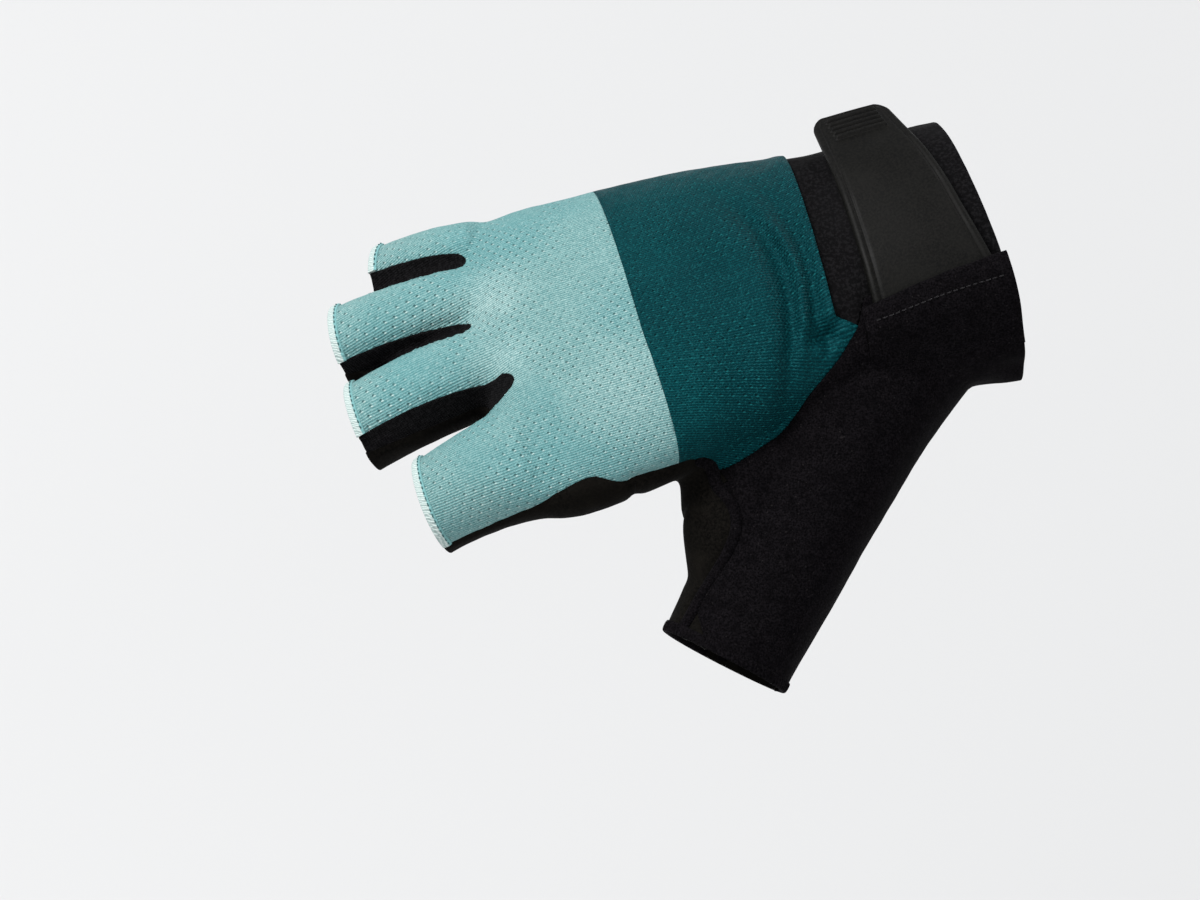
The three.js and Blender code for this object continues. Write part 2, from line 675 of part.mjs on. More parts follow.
const hemInside = clothWall + hemStand / 2;
const hemZones = [];
for (const stall of stalls) {
  const span = stallSpan(stall);
  const end = stallStation(stall, 1);
  const start = stallStation(stall, 1 - hemWidth / span);
  const clear = stallStation(stall, 1 - (hemWidth + seamGap) / span);
  const beyond = stallStation(stall, 1 + hemWidth / span);
  const solid = hemDrum(start, end, -hemStand).subtract(hemDrum(clear, beyond, hemInside))
    .subtract(below).subtract(sideCut).subtract(stripBodies).subtract(stripCuts);
  addPiece(`hem_${stall.name}`, solid, rolled);
  hemZones.push(hemDrum(clear, beyond, -2 * clothWall));
}
const fingerHems = joined(hemZones);

// The thumb's hem goes all the way round its opening.
const thumbHemShare = hemWidth / thumbReach;
const thumbGapShare = seamGap / thumbReach;
const thumbDrum = (inset, from, to) => thumbBody(thumbSections, inset, from, to, 1);
addPiece("hem_thumb", thumbDrum(-hemStand, 1 - thumbHemShare, 1)
  .subtract(thumbDrum(hemInside, 1 - 2 * thumbHemShare, 1 + thumbHemShare)), wipe);
const thumbHemZone = thumbDrum(-2 * clothWall, 1 - thumbHemShare - thumbGapShare, 1 + thumbHemShare);
const pastThumb = thumbDrum(-2 * clothWall, 1, 1 + thumbDepth / thumbReach);

// The bound seam stands on the cloth, over the line between the gusset and the thumb panel. The
// same line also crosses the cloth underneath, where there is no seam: only the largest body,
// the one on top, is kept.
function largestBody(solid) {
  return solid.decompose().reduce((most, body) => (body.volume() > most.volume() ? body : most));
}

const bound = handForm(-seamGap - seamBindHeight, false).subtract(handForm(-seamGap, true))
  .intersect(ribbon(gussetLine.slice(1), seamBindWidth)).subtract(underThumb)
  .subtract(thumbHemZone).subtract(pastThumb);
addPiece("thumb_seam", largestBody(bound), wipe);

// The closure strap follows the back of the wrist from under the folded edge, then its free end
// stands off straight. `across` runs from its hand side to its wrist side.
const strapFoot = THREE.MathUtils.degToRad(strapFootAngle);
const strapLeave = THREE.MathUtils.degToRad(strapLeaveAngle);
const strapFreeShare = 1 - strapCurvedShare;
const tangentStep = 0.08;       // radians round the wrist, to find which way the strap leaves it

function strapPoint(share, across, lift) {
  const wristSide = -strapInset - share * (strapBaseWidth - strapTipWidth);
  const handSide = -strapInset - strapBaseWidth;
  const along = -lerp(handSide, wristSide, across) / palmLength;
  const angle = lerp(strapFoot, strapLeave, Math.min(share / strapCurvedShare, 1));
  const point = palmPoint(along, angle, -lift);
  const before = palmPoint(along, angle + tangentStep, -lift);
  const direction = point.clone().sub(before).normalize();
  const free = Math.max(share - strapCurvedShare, 0) / strapFreeShare;
  return point.addScaledVector(direction, free * strapTipLength);
}

const strapCurvedSteps = 12;
const strapAcrossSteps = 5;
const strapFreeStops = [0.35, 0.65, 0.75, 0.82, 0.88, 0.93, 0.97, 0.99, 1];
const strapLeastEnd = 0.15;     // keeps the rounded tip from closing to a point

function strapBody() {
  const shares = strapFreeStops.map((stop) => strapCurvedShare + strapFreeShare * stop);
  for (let i = strapCurvedSteps; i >= 0; i -= 1) {
    shares.unshift(strapCurvedShare * i / strapCurvedSteps);
  }
  const rings = shares.map((share) => {
    const fromTip = Math.max((1 - share) / strapFreeShare * strapTipLength, strapLeastEnd);
    const intoRound = Math.max(strapTipRadius - fromTip, 0);
    const trim = (strapTipRadius - Math.sqrt(strapTipRadius ** 2 - intoRound ** 2)) / strapTipWidth;
    const stops = Array.from({ length: strapAcrossSteps + 1 }, (_, j) =>
      lerp(trim, 1 - trim, j / strapAcrossSteps));
    const under = stops.map((across) => strapPoint(share, across, seamGap));
    const top = stops.map((across) => strapPoint(share, across, seamGap + strapThickness));
    return [...under, ...top.reverse()];
  });
  return toSolid(skin(rings));
}

// Grip ribs, across the free end, with a narrower crest.
const ribSections = [
  { side: -0.50, height: -0.5 },
  { side: -0.35, height: 1.0 },
  { side: 0.35, height: 1.0 },
  { side: 0.50, height: -0.5 },
];

function ribBody(fromTip) {
  const edge = (1 - ribLength / strapTipWidth) / 2;
  const rings = [edge, 1 - edge].map((across) => ribSections.map((row) => {
    const share = 1 - (fromTip + row.side * ribWidth) / strapTipLength * strapFreeShare;
    return strapPoint(share, across, seamGap + strapThickness + row.height * ribHeight);
  }));
  return toSolid(skin(rings));
}

let strap = strapBody();
for (let i = 0; i < ribCount; i += 1) {
  strap = strap.add(ribBody(ribMargin + i * ribPitch));
}
addPiece("closure_strap", strap, laminate);

// The folded edge of the thumb panel laps over the foot of the strap and comes down to the cloth.
// `angle` is round the wrist, in degrees; `gaps` and `straps` give the height above the cloth in
// seam gaps and strap thicknesses.
const foldSections = [
  { along: 0.0, angle: 117, gaps: 2.0, straps: 1.0 },
  { along: 0.5, angle: 131, gaps: 2.0, straps: 1.0 },
  { along: 0.8, angle: 139, gaps: 1.6, straps: 0.4 },
  { along: 1.0, angle: 146, gaps: 1.0, straps: 0.0 },
];
const foldColumns = 7;
const foldSteps = 8;
const foldFrom = -strapInset - strapBaseWidth - foldPast;
const foldRings = Array.from({ length: foldColumns + 1 }, (_, i) => {
  const along = -lerp(foldFrom, foldStand, i / foldColumns) / palmLength;
  const surface = (thickness) => Array.from({ length: foldSteps + 1 }, (_, j) => {
    const row = readSections(foldSections, j / foldSteps);
    const lift = row.gaps * seamGap + row.straps * strapThickness + thickness;
    return palmPoint(along, THREE.MathUtils.degToRad(row.angle), -lift);
  });
  return [...surface(0), ...surface(foldThickness).reverse()];
});
addPiece("cuff_fold", toSolid(skin(foldRings)), wipe);

addPiece("back_light", panels.subtract(darkZone).subtract(below).subtract(stripBodies).subtract(thumbZone)
  .subtract(gussetZone).subtract(fingerHems), light);
addPiece("back_dark", panels.intersect(darkZone).subtract(below).subtract(thumbZone).subtract(cuffZone)
  .subtract(gussetZone), dark);
addPiece("cuff_band", panels.intersect(cuffZone), stretch);
addPiece("thumb_panel", panels.intersect(thumbZone).subtract(below).subtract(gussetZone)
  .subtract(thumbHemZone), wipe);
addPiece("thumb_gusset", panels.intersect(gussetZone).subtract(thumbHemZone), suede);
addPiece("palm_panel", panels.intersect(below).subtract(cuffZone).subtract(gussetZone)
  .subtract(thumbHemZone), suede);
for (const strip of strips) {
  addPiece(strip.name, panels.intersect(strip.body).subtract(below), stretch);
}

export default glove;
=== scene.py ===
# %% [markdown]
# # A half-finger cycling glove
# The glove is worn cloth: a light knit back, a dark knit panel at the wrist, a suede palm, a
# brushed thumb panel and a wrist strap. The fixed frame of the part gives every size and place.
# We load it first, keep its outer box, and model every cloth piece around it in this script.

# %% Load the frame and keep its box
import json
import math

import bpy
import numpy as np
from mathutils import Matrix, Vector
from mathutils.bvhtree import BVHTree


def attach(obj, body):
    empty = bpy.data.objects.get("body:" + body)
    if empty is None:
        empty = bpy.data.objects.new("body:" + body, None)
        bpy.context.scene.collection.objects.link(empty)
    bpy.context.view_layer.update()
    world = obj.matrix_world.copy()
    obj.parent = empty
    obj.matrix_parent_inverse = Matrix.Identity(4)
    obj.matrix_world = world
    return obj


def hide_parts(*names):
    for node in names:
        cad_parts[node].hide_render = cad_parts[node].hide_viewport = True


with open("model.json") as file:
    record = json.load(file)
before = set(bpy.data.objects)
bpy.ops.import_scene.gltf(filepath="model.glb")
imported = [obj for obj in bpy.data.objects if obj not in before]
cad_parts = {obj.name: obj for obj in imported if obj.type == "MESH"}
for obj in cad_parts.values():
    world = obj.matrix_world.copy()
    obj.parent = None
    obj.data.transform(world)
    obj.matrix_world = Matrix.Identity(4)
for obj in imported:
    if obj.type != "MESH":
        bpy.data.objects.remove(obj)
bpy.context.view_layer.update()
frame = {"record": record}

# %% [markdown]
# ## The camera
# The photo looks down on the back of the glove, a little from the thumb side, through a long
# lens. A long lens keeps near and far parts at one scale. We place the camera first, because
# every later choice is judged through it. It is worked out from angles and the size of a pixel
# instead of moved by eye, so that the picture and the photo can be laid over each other.

# %% Camera at the photo's angle
MILLIMETRE = 0.001
photo_width_pixels = 1200
photo_height_pixels = 900
pixel_size = 0.22 * MILLIMETRE
wrist_pixel = (975, 250)
camera_azimuth = math.radians(-13)
camera_elevation = math.radians(55)
camera_distance = 2.6
sensor_width = 36

camera_right = Vector((math.cos(camera_azimuth), math.sin(camera_azimuth), 0))
camera_back = Vector((math.sin(camera_azimuth) * math.cos(camera_elevation),
                      -math.cos(camera_azimuth) * math.cos(camera_elevation),
                      math.sin(camera_elevation)))
camera_up = camera_back.cross(camera_right)
look_at = (camera_right * (photo_width_pixels / 2 - wrist_pixel[0])
           + camera_up * (wrist_pixel[1] - photo_height_pixels / 2)) * pixel_size
camera_data = bpy.data.cameras.new("photo_camera")
camera_data.sensor_width = sensor_width
camera_data.lens = sensor_width * camera_distance / (photo_width_pixels * pixel_size)
camera_data.clip_end = 20
camera = bpy.data.objects.new("photo_camera", camera_data)
bpy.context.scene.collection.objects.link(camera)
camera.rotation_mode = "QUATERNION"
camera.rotation_quaternion = (-camera_back).to_track_quat("-Z", "Y")
camera.location = look_at + camera_back * camera_distance
bpy.context.scene.camera = camera
print("lens in mm", round(camera_data.lens))

# %% [markdown]
# ## Sizes of the worn form
# A glove in use is full and round, and its cloth takes its form from inside. It could be sculpted
# from a ball, but then no size could be read or changed. So lofts make the form: the body of the
# palm, four finger stalls, the thumb stall and the web beside it. The tables below hold their
# sections, in millimetres or in shares of the sizes above them, as the part's own tables do.

# %% Driving sizes and the table reader
palm_length, palm_width, palm_depth = 112, 80, 28
wrist_width, wrist_depth, wrist_slant = 64, 44, 0.1
stall_length, stall_width = 28, 20
droop = math.tan(math.radians(23))
knuckle_sink, knuckle_line = 9, 0.93
thumb_reach, thumb_width, thumb_depth = 78, 29.5, 25.5
colour_line, cuff_length, palm_cuff_length, thumb_front = 78.5, 37, 15, 17
palm_power, stall_power, thumb_power = 2.3, 2.1, 2.15
print("palm", palm_length, "by", palm_width, "mm, wrist", wrist_width, "by", wrist_depth, "mm")


def read_table(rows, along):
    """Reads every column of a table at many values of its first column, smoothly."""
    rows = np.asarray(rows, float)
    along = np.asarray(along, float)
    i = np.clip(np.searchsorted(rows[:, 0], along, side="right") - 1, 0, len(rows) - 2)
    before, a, b = rows[np.maximum(i - 1, 0)], rows[i], rows[i + 1]
    after = rows[np.minimum(i + 2, len(rows) - 1)]
    span = (b[..., 0] - a[..., 0])[..., None]
    t = (along[..., None] - a[..., :1]) / span
    slope_a = (b - before) / (b[..., :1] - before[..., :1]) * span
    slope_b = (after - a) / (after[..., :1] - a[..., :1]) * span
    return ((2 * t**3 - 3 * t**2 + 1) * a + (t**3 - 2 * t**2 + t) * slope_a
            + (3 * t**2 - 2 * t**3) * b + (t**3 - t**2) * slope_b)


# %% Sections of the body of the palm
# Columns: along, side, rise, half width, up, down.
palm_sections = np.array([
    [-0.07, 0.0, 0.0, 0.50 * wrist_width, 0.50 * wrist_depth, 0.50 * wrist_depth],
    [0.00, 0.0, 0.0, 0.50 * wrist_width, 0.50 * wrist_depth, 0.50 * wrist_depth],
    [0.14, 0.0, 0.0, 0.485 * wrist_width, 0.48 * wrist_depth, 0.47 * wrist_depth],
    [0.30, -0.6, 0.0, 0.485 * wrist_width, 0.42 * wrist_depth, 0.44 * wrist_depth],
    [0.45, -0.8, -0.15 * knuckle_sink, 0.42 * palm_width, 0.64 * palm_depth, 0.66 * palm_depth],
    [0.60, -1.6, -0.35 * knuckle_sink, 0.455 * palm_width, 0.59 * palm_depth, 0.64 * palm_depth],
    [0.75, -2.8, -0.60 * knuckle_sink, 0.48 * palm_width, 0.53 * palm_depth, 0.60 * palm_depth],
    [0.88, -3.2, -0.85 * knuckle_sink, 0.495 * palm_width, 0.47 * palm_depth, 0.54 * palm_depth],
    [0.96, -2.8, -1.05 * knuckle_sink, 0.465 * palm_width, 0.40 * palm_depth, 0.45 * palm_depth],
    [1.00, -2.4, -1.25 * knuckle_sink, 0.40 * palm_width, 0.27 * palm_depth, 0.30 * palm_depth],
])


def section_ring(centre, across, over, half_width, up, down, angles, power):
    """Points round a section: angle 0 is across, a quarter turn is up."""
    c, s = np.cos(angles), np.sin(angles)
    wide = half_width * np.sign(c) * np.abs(c) ** (2 / power)
    high = np.where(s > 0, up, down) * np.sign(s) * np.abs(s) ** (2 / power)
    return centre + wide[:, None] * across + high[:, None] * over


def palm_ring(along, angles, lift=0.0):
    """A ring of the body of the palm, raised from it by a lift."""
    _, side, rise, half_width, up, down = read_table(palm_sections, along)
    centre = np.array([-along * palm_length, side, rise])
    ring = section_ring(centre, np.array([0, 1, 0]), np.array([0, 0, 1]),
                        half_width + lift, up + lift, down + lift, angles, palm_power)
    ring[:, 0] -= wrist_slant * ring[:, 1] * max(1 - along * palm_length / cuff_length, 0)
    return ring


print("palm sections", len(palm_sections))


# %% Sections of the finger stalls, the thumb and its web
# Columns: root, hem, root width (shares of the palm width), length, width, depth, extra sink.
stalls = {
    "little": (0.350, 0.430, 0.22, 0.50, 0.80, 0.86, 0.10),
    "ring": (0.205, 0.262, 0.23, 0.92, 0.89, 0.92, -0.05),
    "middle": (0.000, 0.003, 0.26, 0.93, 1.00, 0.97, 0.05),
    "index": (-0.330, -0.325, 0.37, 0.58, 1.08, 1.02, 0.10),
}
# Columns: along, x, y, z (shares of the reach), width, depth.
thumb_sections = np.array([
    [0.00, -0.230, -0.115, -0.070, 1.48, 1.35],
    [0.26, -0.430, -0.310, -0.130, 1.38, 1.32],
    [0.58, -0.640, -0.560, -0.282, 1.16, 1.16],
    [0.84, -0.820, -0.765, -0.405, 1.04, 1.06],
    [1.00, -0.935, -0.885, -0.487, 1.00, 1.00],
])
web_sections = np.array([
    [0.00, -0.720, -0.300, -0.120, 1.00, 0.84],
    [0.50, -0.790, -0.560, -0.245, 1.00, 0.78],
    [1.00, -0.850, -0.740, -0.380, 0.76, 0.70],
])
up_axis = np.array([0.0, 0.0, 1.0])


def unit(vector):
    return vector / np.linalg.norm(vector)


def stall_frame(name, share):
    """Middle point, directions and half sizes of a finger stall at a share of its length."""
    root, hem, root_width, length, width, depth, sink = stalls[name]
    root_x, hem_x = -knuckle_line * palm_length, -palm_length - length * stall_length
    bend = max(share, 0) ** 0.8
    rise = (-knuckle_sink - droop * (root_x - hem_x) * (0.25 * share + 0.75 * bend * share)
            - sink * stall_width * share)
    centre = np.array([root_x + (hem_x - root_x) * share, (root + (hem - root) * share) * palm_width,
                       rise])
    slope = unit(np.array([hem_x - root_x, (hem - root) * palm_width, -droop * (root_x - hem_x)]))
    across = unit(np.cross(slope, up_axis))
    across *= np.sign(across[1])
    over = np.cross(across, slope)
    over *= np.sign(over[2])
    widen = max(1 - share, 0) ** 1.5
    half_width = width * stall_width / 2 * (1 - widen) + root_width * palm_width / 2 * widen
    half_depth = depth * stall_width / 2 * (1 + 0.1 * widen)
    return centre, slope, across, over, half_width, half_depth


def thumb_frame(rows, share):
    """The same for the thumb stall or its web; past 1 it runs straight on."""
    row, behind = read_table(rows, min(share, 1)), read_table(rows, min(share, 1) - 0.02)
    centre = row[1:4] * thumb_reach
    slope = unit(centre - behind[1:4] * thumb_reach)
    centre = centre + slope * max(share - 1, 0) * thumb_reach
    across = unit(np.cross(up_axis, slope))
    over = np.cross(slope, across)
    return centre, slope, across, over, row[4] * thumb_width / 2, row[5] * thumb_depth / 2


print("stalls end at", {name: np.round(stall_frame(name, 1)[0]).tolist() for name in stalls})

# %% [markdown]
# ## From lofts to one form
# Each loft is a closed tube of rings. Booleans could join the tubes, but would leave long thin
# faces and a knife-sharp line at every join, which cloth never has. A voxel remesh melts the
# overlapping tubes into one even mesh instead, as sculptors do.

# %% A closed tube through rings
ring_points = 96
ring_angles = np.linspace(0, 2 * math.pi, ring_points, endpoint=False)
stall_run_past, thumb_run_past = 1.06, 1.09


def tube(rings):
    """Vertices and faces of a closed tube through rings of points."""
    count = len(rings[0])
    vertices = np.concatenate([*rings, [rings[0].mean(0)], [rings[-1].mean(0)]])
    faces = []
    for i in range(len(rings) - 1):
        for j in range(count):
            k = (j + 1) % count
            a, b = i * count, (i + 1) * count
            faces.append((a + j, a + k, b + k, b + j))
    last = (len(rings) - 1) * count
    for j in range(count):
        k = (j + 1) % count
        faces.append((len(vertices) - 2, k, j))
        faces.append((len(vertices) - 1, last + j, last + k))
    return vertices, faces


print("points on a ring", len(ring_angles))


# %% Every loft of the form
def lofts():
    """Every tube of the form, each run out a little past its opening."""
    yield tube([palm_ring(a, ring_angles) for a in np.linspace(-0.06, 1, 70)])
    for name in stalls:
        rings = []
        for share in np.linspace(0, stall_run_past, 22):
            centre, _, across, over, wide, deep = stall_frame(name, share)
            rings.append(section_ring(centre, across, over, wide, deep, deep, ring_angles, stall_power))
        yield tube(rings)
    for rows, end in ((thumb_sections, thumb_run_past), (web_sections, 1)):
        rings = []
        for share in np.linspace(0, end, 40):
            centre, _, across, over, wide, deep = thumb_frame(rows, share)
            rings.append(section_ring(centre, across, over, wide, deep, deep, ring_angles, thumb_power))
        yield tube(rings)


print("lofts", len(list(lofts())))


# %% Meshes and objects
def new_mesh(name, vertices_mm, faces):
    mesh = bpy.data.meshes.new(name)
    mesh.from_pydata((np.asarray(vertices_mm) * MILLIMETRE).tolist(), [],
                     faces if isinstance(faces, list) else faces.tolist())
    mesh.update()
    return mesh


def link(name, mesh):
    thing = bpy.data.objects.new(name, mesh)
    bpy.context.scene.collection.objects.link(thing)
    return thing


# %% Melt the lofts into one form
voxel = 0.75 * MILLIMETRE


def melted_form():
    """All lofts as one evenly meshed form: vertices in millimetres and triangles."""
    vertices, faces, start = [], [], 0
    for part_vertices, part_faces in lofts():
        vertices.append(part_vertices)
        faces.extend([tuple(i + start for i in face) for face in part_faces])
        start += len(part_vertices)
    thing = link("form", new_mesh("form", np.concatenate(vertices), faces))
    remesh = thing.modifiers.new("melt", "REMESH")
    remesh.mode = "VOXEL"
    remesh.voxel_size = voxel
    melted = thing.evaluated_get(bpy.context.evaluated_depsgraph_get()).to_mesh()
    points = np.empty(len(melted.vertices) * 3)
    melted.vertices.foreach_get("co", points)
    melted.calc_loop_triangles()
    triangles = np.empty(len(melted.loop_triangles) * 3, int)
    melted.loop_triangles.foreach_get("vertices", triangles)
    bpy.data.objects.remove(thing)
    return points.reshape(-1, 3) / MILLIMETRE, triangles.reshape(-1, 3)


form_points, form_triangles = melted_form()
print("melted form", len(form_points), "points", len(form_triangles), "triangles")

# %% [markdown]
# ## Smoothing the form
# A remesh leaves tiny steps, and the tubes meet in sharp creases. Taubin smoothing moves every
# point towards its neighbours and then a little back out, so bumps go but the size stays.
# Plain smoothing shrinks, so it is kept for the creases where fingers and thumb leave the palm:
# stretched cloth bridges the hollow there, as a soft web.

# %% Neighbours, normals and soft steps
def neighbour_pairs(triangles):
    pairs = np.concatenate([triangles[:, [0, 1]], triangles[:, [1, 2]], triangles[:, [2, 0]]])
    return np.concatenate([pairs, pairs[:, ::-1]])


def pull(points, pairs, amount):
    """Moves points towards the middle of their neighbours."""
    count = np.maximum(np.bincount(pairs[:, 0], minlength=len(points)), 1)
    mean = np.stack([np.bincount(pairs[:, 0], weights=points[pairs[:, 1], k], minlength=len(points))
                     for k in range(3)], axis=1) / count[:, None]
    return points + amount * (mean - points)


def normals_of(points, triangles):
    corners = points[triangles]
    face = np.cross(corners[:, 1] - corners[:, 0], corners[:, 2] - corners[:, 0])
    total = np.stack([sum(np.bincount(triangles[:, j], weights=face[:, k], minlength=len(points))
                          for j in range(3)) for k in range(3)], axis=1)
    return total / np.maximum(np.linalg.norm(total, axis=1), 1e-12)[:, None]


def smooth_step(x, low, high):
    t = np.clip((x - low) / (high - low), 0, 1)
    return t * t * (3 - 2 * t)


# %% Smooth the form and its creases
pairs = neighbour_pairs(form_triangles)
smoothing_rounds, crease_rounds, pull_in, pull_out = 14, 26, 0.5, -0.53
for _ in range(smoothing_rounds):
    form_points = pull(form_points, pairs, pull_in)
    form_points = pull(form_points, pairs, pull_out)
crease_places = [  # x, y, z and reach of the creases that cloth bridges
    (-109, 22, -12, 9), (-112, 7, -12, 8), (-108, -14, -10, 9), (-70, -42, -12, 13), (-98, -32, -8, 12),
    (-101, 10, -4, 13), (-100, 27, -4, 10), (-24, -24, -16, 12), (-60, -40, -28, 12),
    (-104, -20, 2, 9), (-105, -30, 1, 9), (-105, -38, -4, 9), (-103, 0, 2, 9), (-103, 34, -5, 9),
]
crease = np.zeros(len(form_points))
for x, y, z, reach in crease_places:
    away = np.linalg.norm(form_points - np.array([x, y, z]), axis=1)
    crease = np.maximum(crease, 1 - smooth_step(away, 0.4 * reach, 1.4 * reach))
for _ in range(crease_rounds):
    form_points = pull(form_points, pairs, pull_in * crease[:, None])
print("share of the form that is crease", round(float(crease.mean()), 3))

# %% [markdown]
# ## Where the panels meet
# A glove maker marks the cutting lines on flat cloth. They could be painted on the mesh, but a
# line of a few points is easier to move. Here each line is drawn from above, in the plane
# of the palm, and each zone is a closed outline. The signed distance to an outline, positive
# inside, then serves three times: it cuts the panels, it presses the seams into the cloth, and
# it places the stitches.

# %% Outlines of the zones, seen from above
far = 3 * palm_length
thumb_end = thumb_frame(thumb_sections, 1)
tab = np.array([-0.875 * cuff_length, -1.39 * thumb_front])
corner = np.array([-0.92 * colour_line, -0.475 * palm_width])
toward_fingers = thumb_end[2] * -np.sign(thumb_end[2][0])
gusset_end = (thumb_end[0] + 0.55 * thumb_end[4] * toward_fingers)[:2]


def rounded(points, rounds=2):
    """Cuts the corners of an open line, which keeps its ends."""
    points = np.asarray(points, float)
    for _ in range(rounds):
        a, b = points[:-1], points[1:]
        between = np.stack([0.75 * a + 0.25 * b, 0.25 * a + 0.75 * b], axis=1).reshape(-1, 2)
        points = np.concatenate([points[:1], between[1:-1], points[-1:]])
    return points


front_shares = np.array([[0, 0], [0.14, 0.38], [0.41, 0.76], [0.82, 1.20], [1, 1]])
front_line = np.concatenate([
    [[far, -0.92 * thumb_front], [0, -0.95 * thumb_front]],
    [[-0.81 * cuff_length, -1.08 * thumb_front]],
    rounded(tab + front_shares * (corner - tab))])
gusset_shares = np.array([[-0.30, -0.244], [0, 0], [0.20, -0.22], [0.25, -0.43], [0.10, -0.60]])
gusset_line = rounded(np.concatenate([
    corner + gusset_shares * thumb_width,
    [corner + (gusset_end - corner) * (0.5, 0.86), gusset_end, gusset_end * 1.2]]))
past_corner = int(np.argmin(np.linalg.norm(gusset_line - corner, axis=1))) + 1
colour_shares = np.array([[0.006, 1.0], [0, 0.3], [-0.004, -0.15], [-0.022, -0.47], [-0.03, -1.0]])
colour_border = np.array([-colour_line, 0]) + colour_shares * (-palm_length, palm_width)

thumb_outline = np.concatenate([front_line, gusset_line[past_corner:],
                                [[gusset_line[-1][0], -far], [far, -far]]])
gusset_outline = np.concatenate([gusset_line, [[-far, 2 * gusset_end[1]], [-far, 1.8 * corner[1]]]])
cuff_outline = np.array([[-cuff_length, far], [-cuff_length, -1.21 * thumb_front], tab, [tab[0], -far],
                         [far, -far], [far, far]])
dark_outline = np.concatenate([[[colour_border[0][0], far]], colour_border,
                               [[colour_border[-1][0], -far], [far, -far], [far, far]]])
print("corner of the dark panel", np.round(corner, 1), "end of the gusset", np.round(gusset_end, 1))

# %% [markdown]
# ## The black strips between the fingers
# On the real glove a strip of stretch cloth joins each pair of stalls. Seen from above, it starts
# at a rounded tip between the knuckles and widens towards the finger ends. Its outline follows
# the stalls, so it is worked out from their sizes instead of drawn.

# %% Outlines of the strips
# Columns: finger on the thumb side, finger on the other, shares of the palm length and width.
crotches = {
    "little_ring": ("ring", "little", 0.976, 0.300),
    "ring_middle": ("middle", "ring", 1.000, 0.090),
    "middle_index": ("index", "middle", 0.952, -0.150),
}
# Where the back panel ends on a finger, in half widths towards the thumb and away from it.
panel_ends = {"little": (-0.35, 2), "ring": (-0.85, 0.85), "middle": (-0.68, 0.90), "index": (-2, 0.90)}


def strip_outline(low, high, along, side):
    tip = np.array([-along * palm_length, side * palm_width])
    turn = 0.1 * stall_width

    def edge(name, share, end):
        frame_here = stall_frame(name, share)
        return np.array([frame_here[0][0], frame_here[0][1] + panel_ends[name][end] * frame_here[4]])

    high_root = max(tip[1] + turn, (tip[1] + turn + edge(high, 0.4, 0)[1]) / 2)
    low_root = min(tip[1] - turn, (tip[1] - turn + edge(low, 0.4, 1)[1]) / 2)
    return rounded([edge(high, 1.6, 0), edge(high, 0.8, 0), (tip[0] - 1.6 * turn, high_root),
                    tip + (-0.4 * turn, 0.8 * turn), tip, tip + (-0.4 * turn, -0.8 * turn),
                    (tip[0] - 1.6 * turn, low_root), edge(low, 0.8, 1), edge(low, 1.6, 1)])


strip_outlines = {name: strip_outline(*row) for name, row in crotches.items()}
print("outlines", {name: len(line) for name, line in strip_outlines.items()})


# %% [markdown]
# ## How far from an outline
# A pattern maker rules a seam allowance along a line at an even distance. The same distance is
# what the script needs most. Blender could measure it from a curve, but only after the curve is an
# object, so a few lines of arithmetic do it for all points at once.

# %% Signed distance to an outline
def inside_distance(points, outline):
    """Distance to a closed outline in the plane of the palm, positive inside it."""
    x, y = points[:, 0], points[:, 1]
    nearest = np.full(len(points), np.inf)
    inside = np.zeros(len(points), bool)
    for a, b in zip(outline, np.roll(outline, -1, axis=0)):
        run = b - a
        t = np.clip(((x - a[0]) * run[0] + (y - a[1]) * run[1]) / (run @ run), 0, 1)
        nearest = np.minimum(nearest, np.hypot(x - a[0] - t * run[0], y - a[1] - t * run[1]))
        if a[1] != b[1]:
            crosses = (a[1] > y) != (b[1] > y)
            inside ^= crosses & (x < a[0] + (y - a[1]) / (b[1] - a[1]) * run[0])
    return np.where(inside, nearest, -nearest)


corner_depth = inside_distance(corner[None], dark_outline)[0]
print("the corner lies", round(float(corner_depth), 1), "mm inside the dark zone")

# %% [markdown]
# ## The side seam
# The side seam runs round the glove at the height where the back cloth meets the suede. A plane
# could cut it, but the seam rises over the index side and dips along the thumb. So it is a height
# that a short table gives for each place, and the distance to it is measured straight up.

# %% Height of the side seam
# On the index side: share of the palm length, rise above the middle in shares of the palm depth.
index_seam = np.array([[0.60, 0.050], [0.74, 0.086], [0.79, 0.112], [0.845, 0.213], [0.88, 0.212],
                       [0.92, 0.160], [0.98, 0.075], [1.13, -0.090]])


def side_seam_height(points):
    x, y = points[:, 0], points[:, 1]
    rise = read_table(palm_sections, np.clip(-x / palm_length, 0, knuckle_line))[:, 2]
    past_knuckles = np.maximum(-x - knuckle_line * palm_length, 0)
    index_side = smooth_step(-y, 0.2 * palm_width, 0.45 * palm_width)
    index_rise = read_table(index_seam, np.clip(-x / palm_length, 0.60, 1.13))[:, 1]
    palm_height = rise + (0.1 + (index_rise - 0.1) * index_side) * palm_depth - droop * past_knuckles
    root, tip = thumb_sections[1][1:4] * thumb_reach, thumb_sections[-1][1:4] * thumb_reach
    run = (tip - root)[:2]
    share = ((x - root[0]) * run[0] + (y - root[1]) * run[1]) / (run @ run)
    thumb_height = root[2] + (tip[2] - root[2]) * np.maximum(share, -0.3) - 0.28 * thumb_depth
    edge = unit(corner - (tab + front_shares[1] * (corner - tab)))
    outside = (x - front_line[3][0]) * -edge[1] + (y - front_line[3][1]) * edge[0]
    blend = (smooth_step(outside, 0, 0.1 * palm_width)
             * smooth_step(x, corner[0] - 0.1 * palm_length, corner[0]))
    return palm_height * (1 - blend) + thumb_height * blend


print("seam height over the wrist", round(float(side_seam_height(np.zeros((1, 3)))[0]), 2), "mm")

